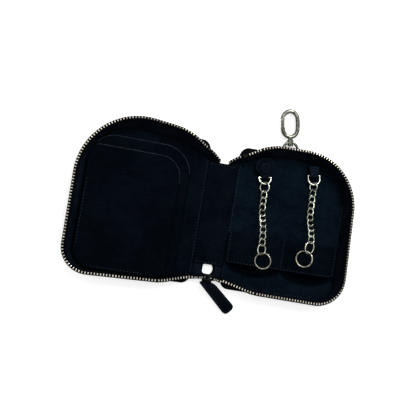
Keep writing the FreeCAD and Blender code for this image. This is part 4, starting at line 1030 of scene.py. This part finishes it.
stitch = {"length": 1.1, "radius": 0.2, "sides": 8, "endRim": 0.45, "endSwell": 1.12, "pitch": 2.3, "slant": 8.0,
          "liningTop": 2.78, "leafTop": 5.42, "spineRise": 0.1, "bandRise": 0.03, "spineEnds": (-42.0, 39.5)}
bandStitch = {"hem": -29.9, "hemEnds": (12.5, 93.0), "hemStep": 1.0, "seamEnds": (-29.5, -9.0),
              "seams": {"Start": 12.9, "Middle": 52.75, "End": 92.6}}


def makeStitch():
    clearSelection()
    bpy.ops.mesh.primitive_cylinder_add(vertices=stitch["sides"], radius=stitch["radius"] * mm,
                                        depth=stitch["length"] * mm)
    piece = bpy.context.object
    piece.rotation_euler = (0, math.radians(90), 0)
    applyPlace(piece)
    openMesh(piece, "FACE", lambda face: abs(face.normal.x) > squareOn)
    bpy.ops.mesh.inset(thickness=stitch["radius"] * stitch["endRim"] * mm)
    bpy.ops.transform.resize(value=(stitch["endSwell"], 1, 1))
    closeMesh()
    return piece


def stitchRow(pattern, name, points, body):
    points = [Vector(point) for point in points]
    slanted = Matrix.Rotation(math.radians(stitch["slant"]), 4, "Z")
    places, due, gone = [], stitch["pitch"] / 2, 0.0
    for here, following in zip(points, points[1:]):
        step = following - here
        while due <= gone + step.length:
            spot = here + step * ((due - gone) / step.length)
            turned = slanted @ step.normalized()
            across = Vector((0, 0, 1)).cross(turned).normalized()
            places.append(turnedTo(turned, across, turned.cross(across), spot * mm))
            due += stitch["pitch"]
        gone += step.length
    row = copyAlong(pattern, places, name)
    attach(dress(row, "suede", threadNavy, smooth=60), body)


stitchPattern = makeStitch()
for side, sign in halves:
    ends = [(sign * lining["spineStitch"], y, stitch["liningTop"]) for y in stitch["spineEnds"]]
    stitchRow(stitchPattern, "spineStitches_" + side, ends, side + "_half")
liningRows = {"sideStitches_right": [(93.2, -4), (93.2, 24)],
              "lowStitches_right": [(16.5, -44.2), (27, -46.6), (45, -48.0), (84, -48.0)]}
leafRows = {"sideStitches_left": [(-92.6, -34), (-92.6, 12)],
            "lowStitches_left": [(-84, -47.4), (-46, -47.4)]}
spineRows = {"hemStitches_spine": [(-9.6, -33.2), (9.6, -33.2)],
             "topStitches_spine": [(-9.6, 36.6), (9.6, 36.6)]}
for rows, top, body in ((liningRows, stitch["liningTop"], "right_half"), (leafRows, stitch["leafTop"], "left_half"),
                        (spineRows, stitch["liningTop"] + stitch["spineRise"], "spine")):
    for name, points in rows.items():
        stitchRow(stitchPattern, name, [(x, y, top) for x, y in points], body)
hemSpots = steps(*bandStitch["hemEnds"], bandStitch["hemStep"])
hem = [(x, bandStitch["hem"], bandHeight(x) + stitch["bandRise"]) for x in hemSpots]
stitchRow(stitchPattern, "bandHem", hem, "right_half")
for name, x in bandStitch["seams"].items():
    ends = [(x, y, band["base"] + stitch["bandRise"]) for y in bandStitch["seamEnds"]]
    stitchRow(stitchPattern, "bandSeam" + name, ends, "right_half")
putAway(stitchPattern)
print("stitches done")
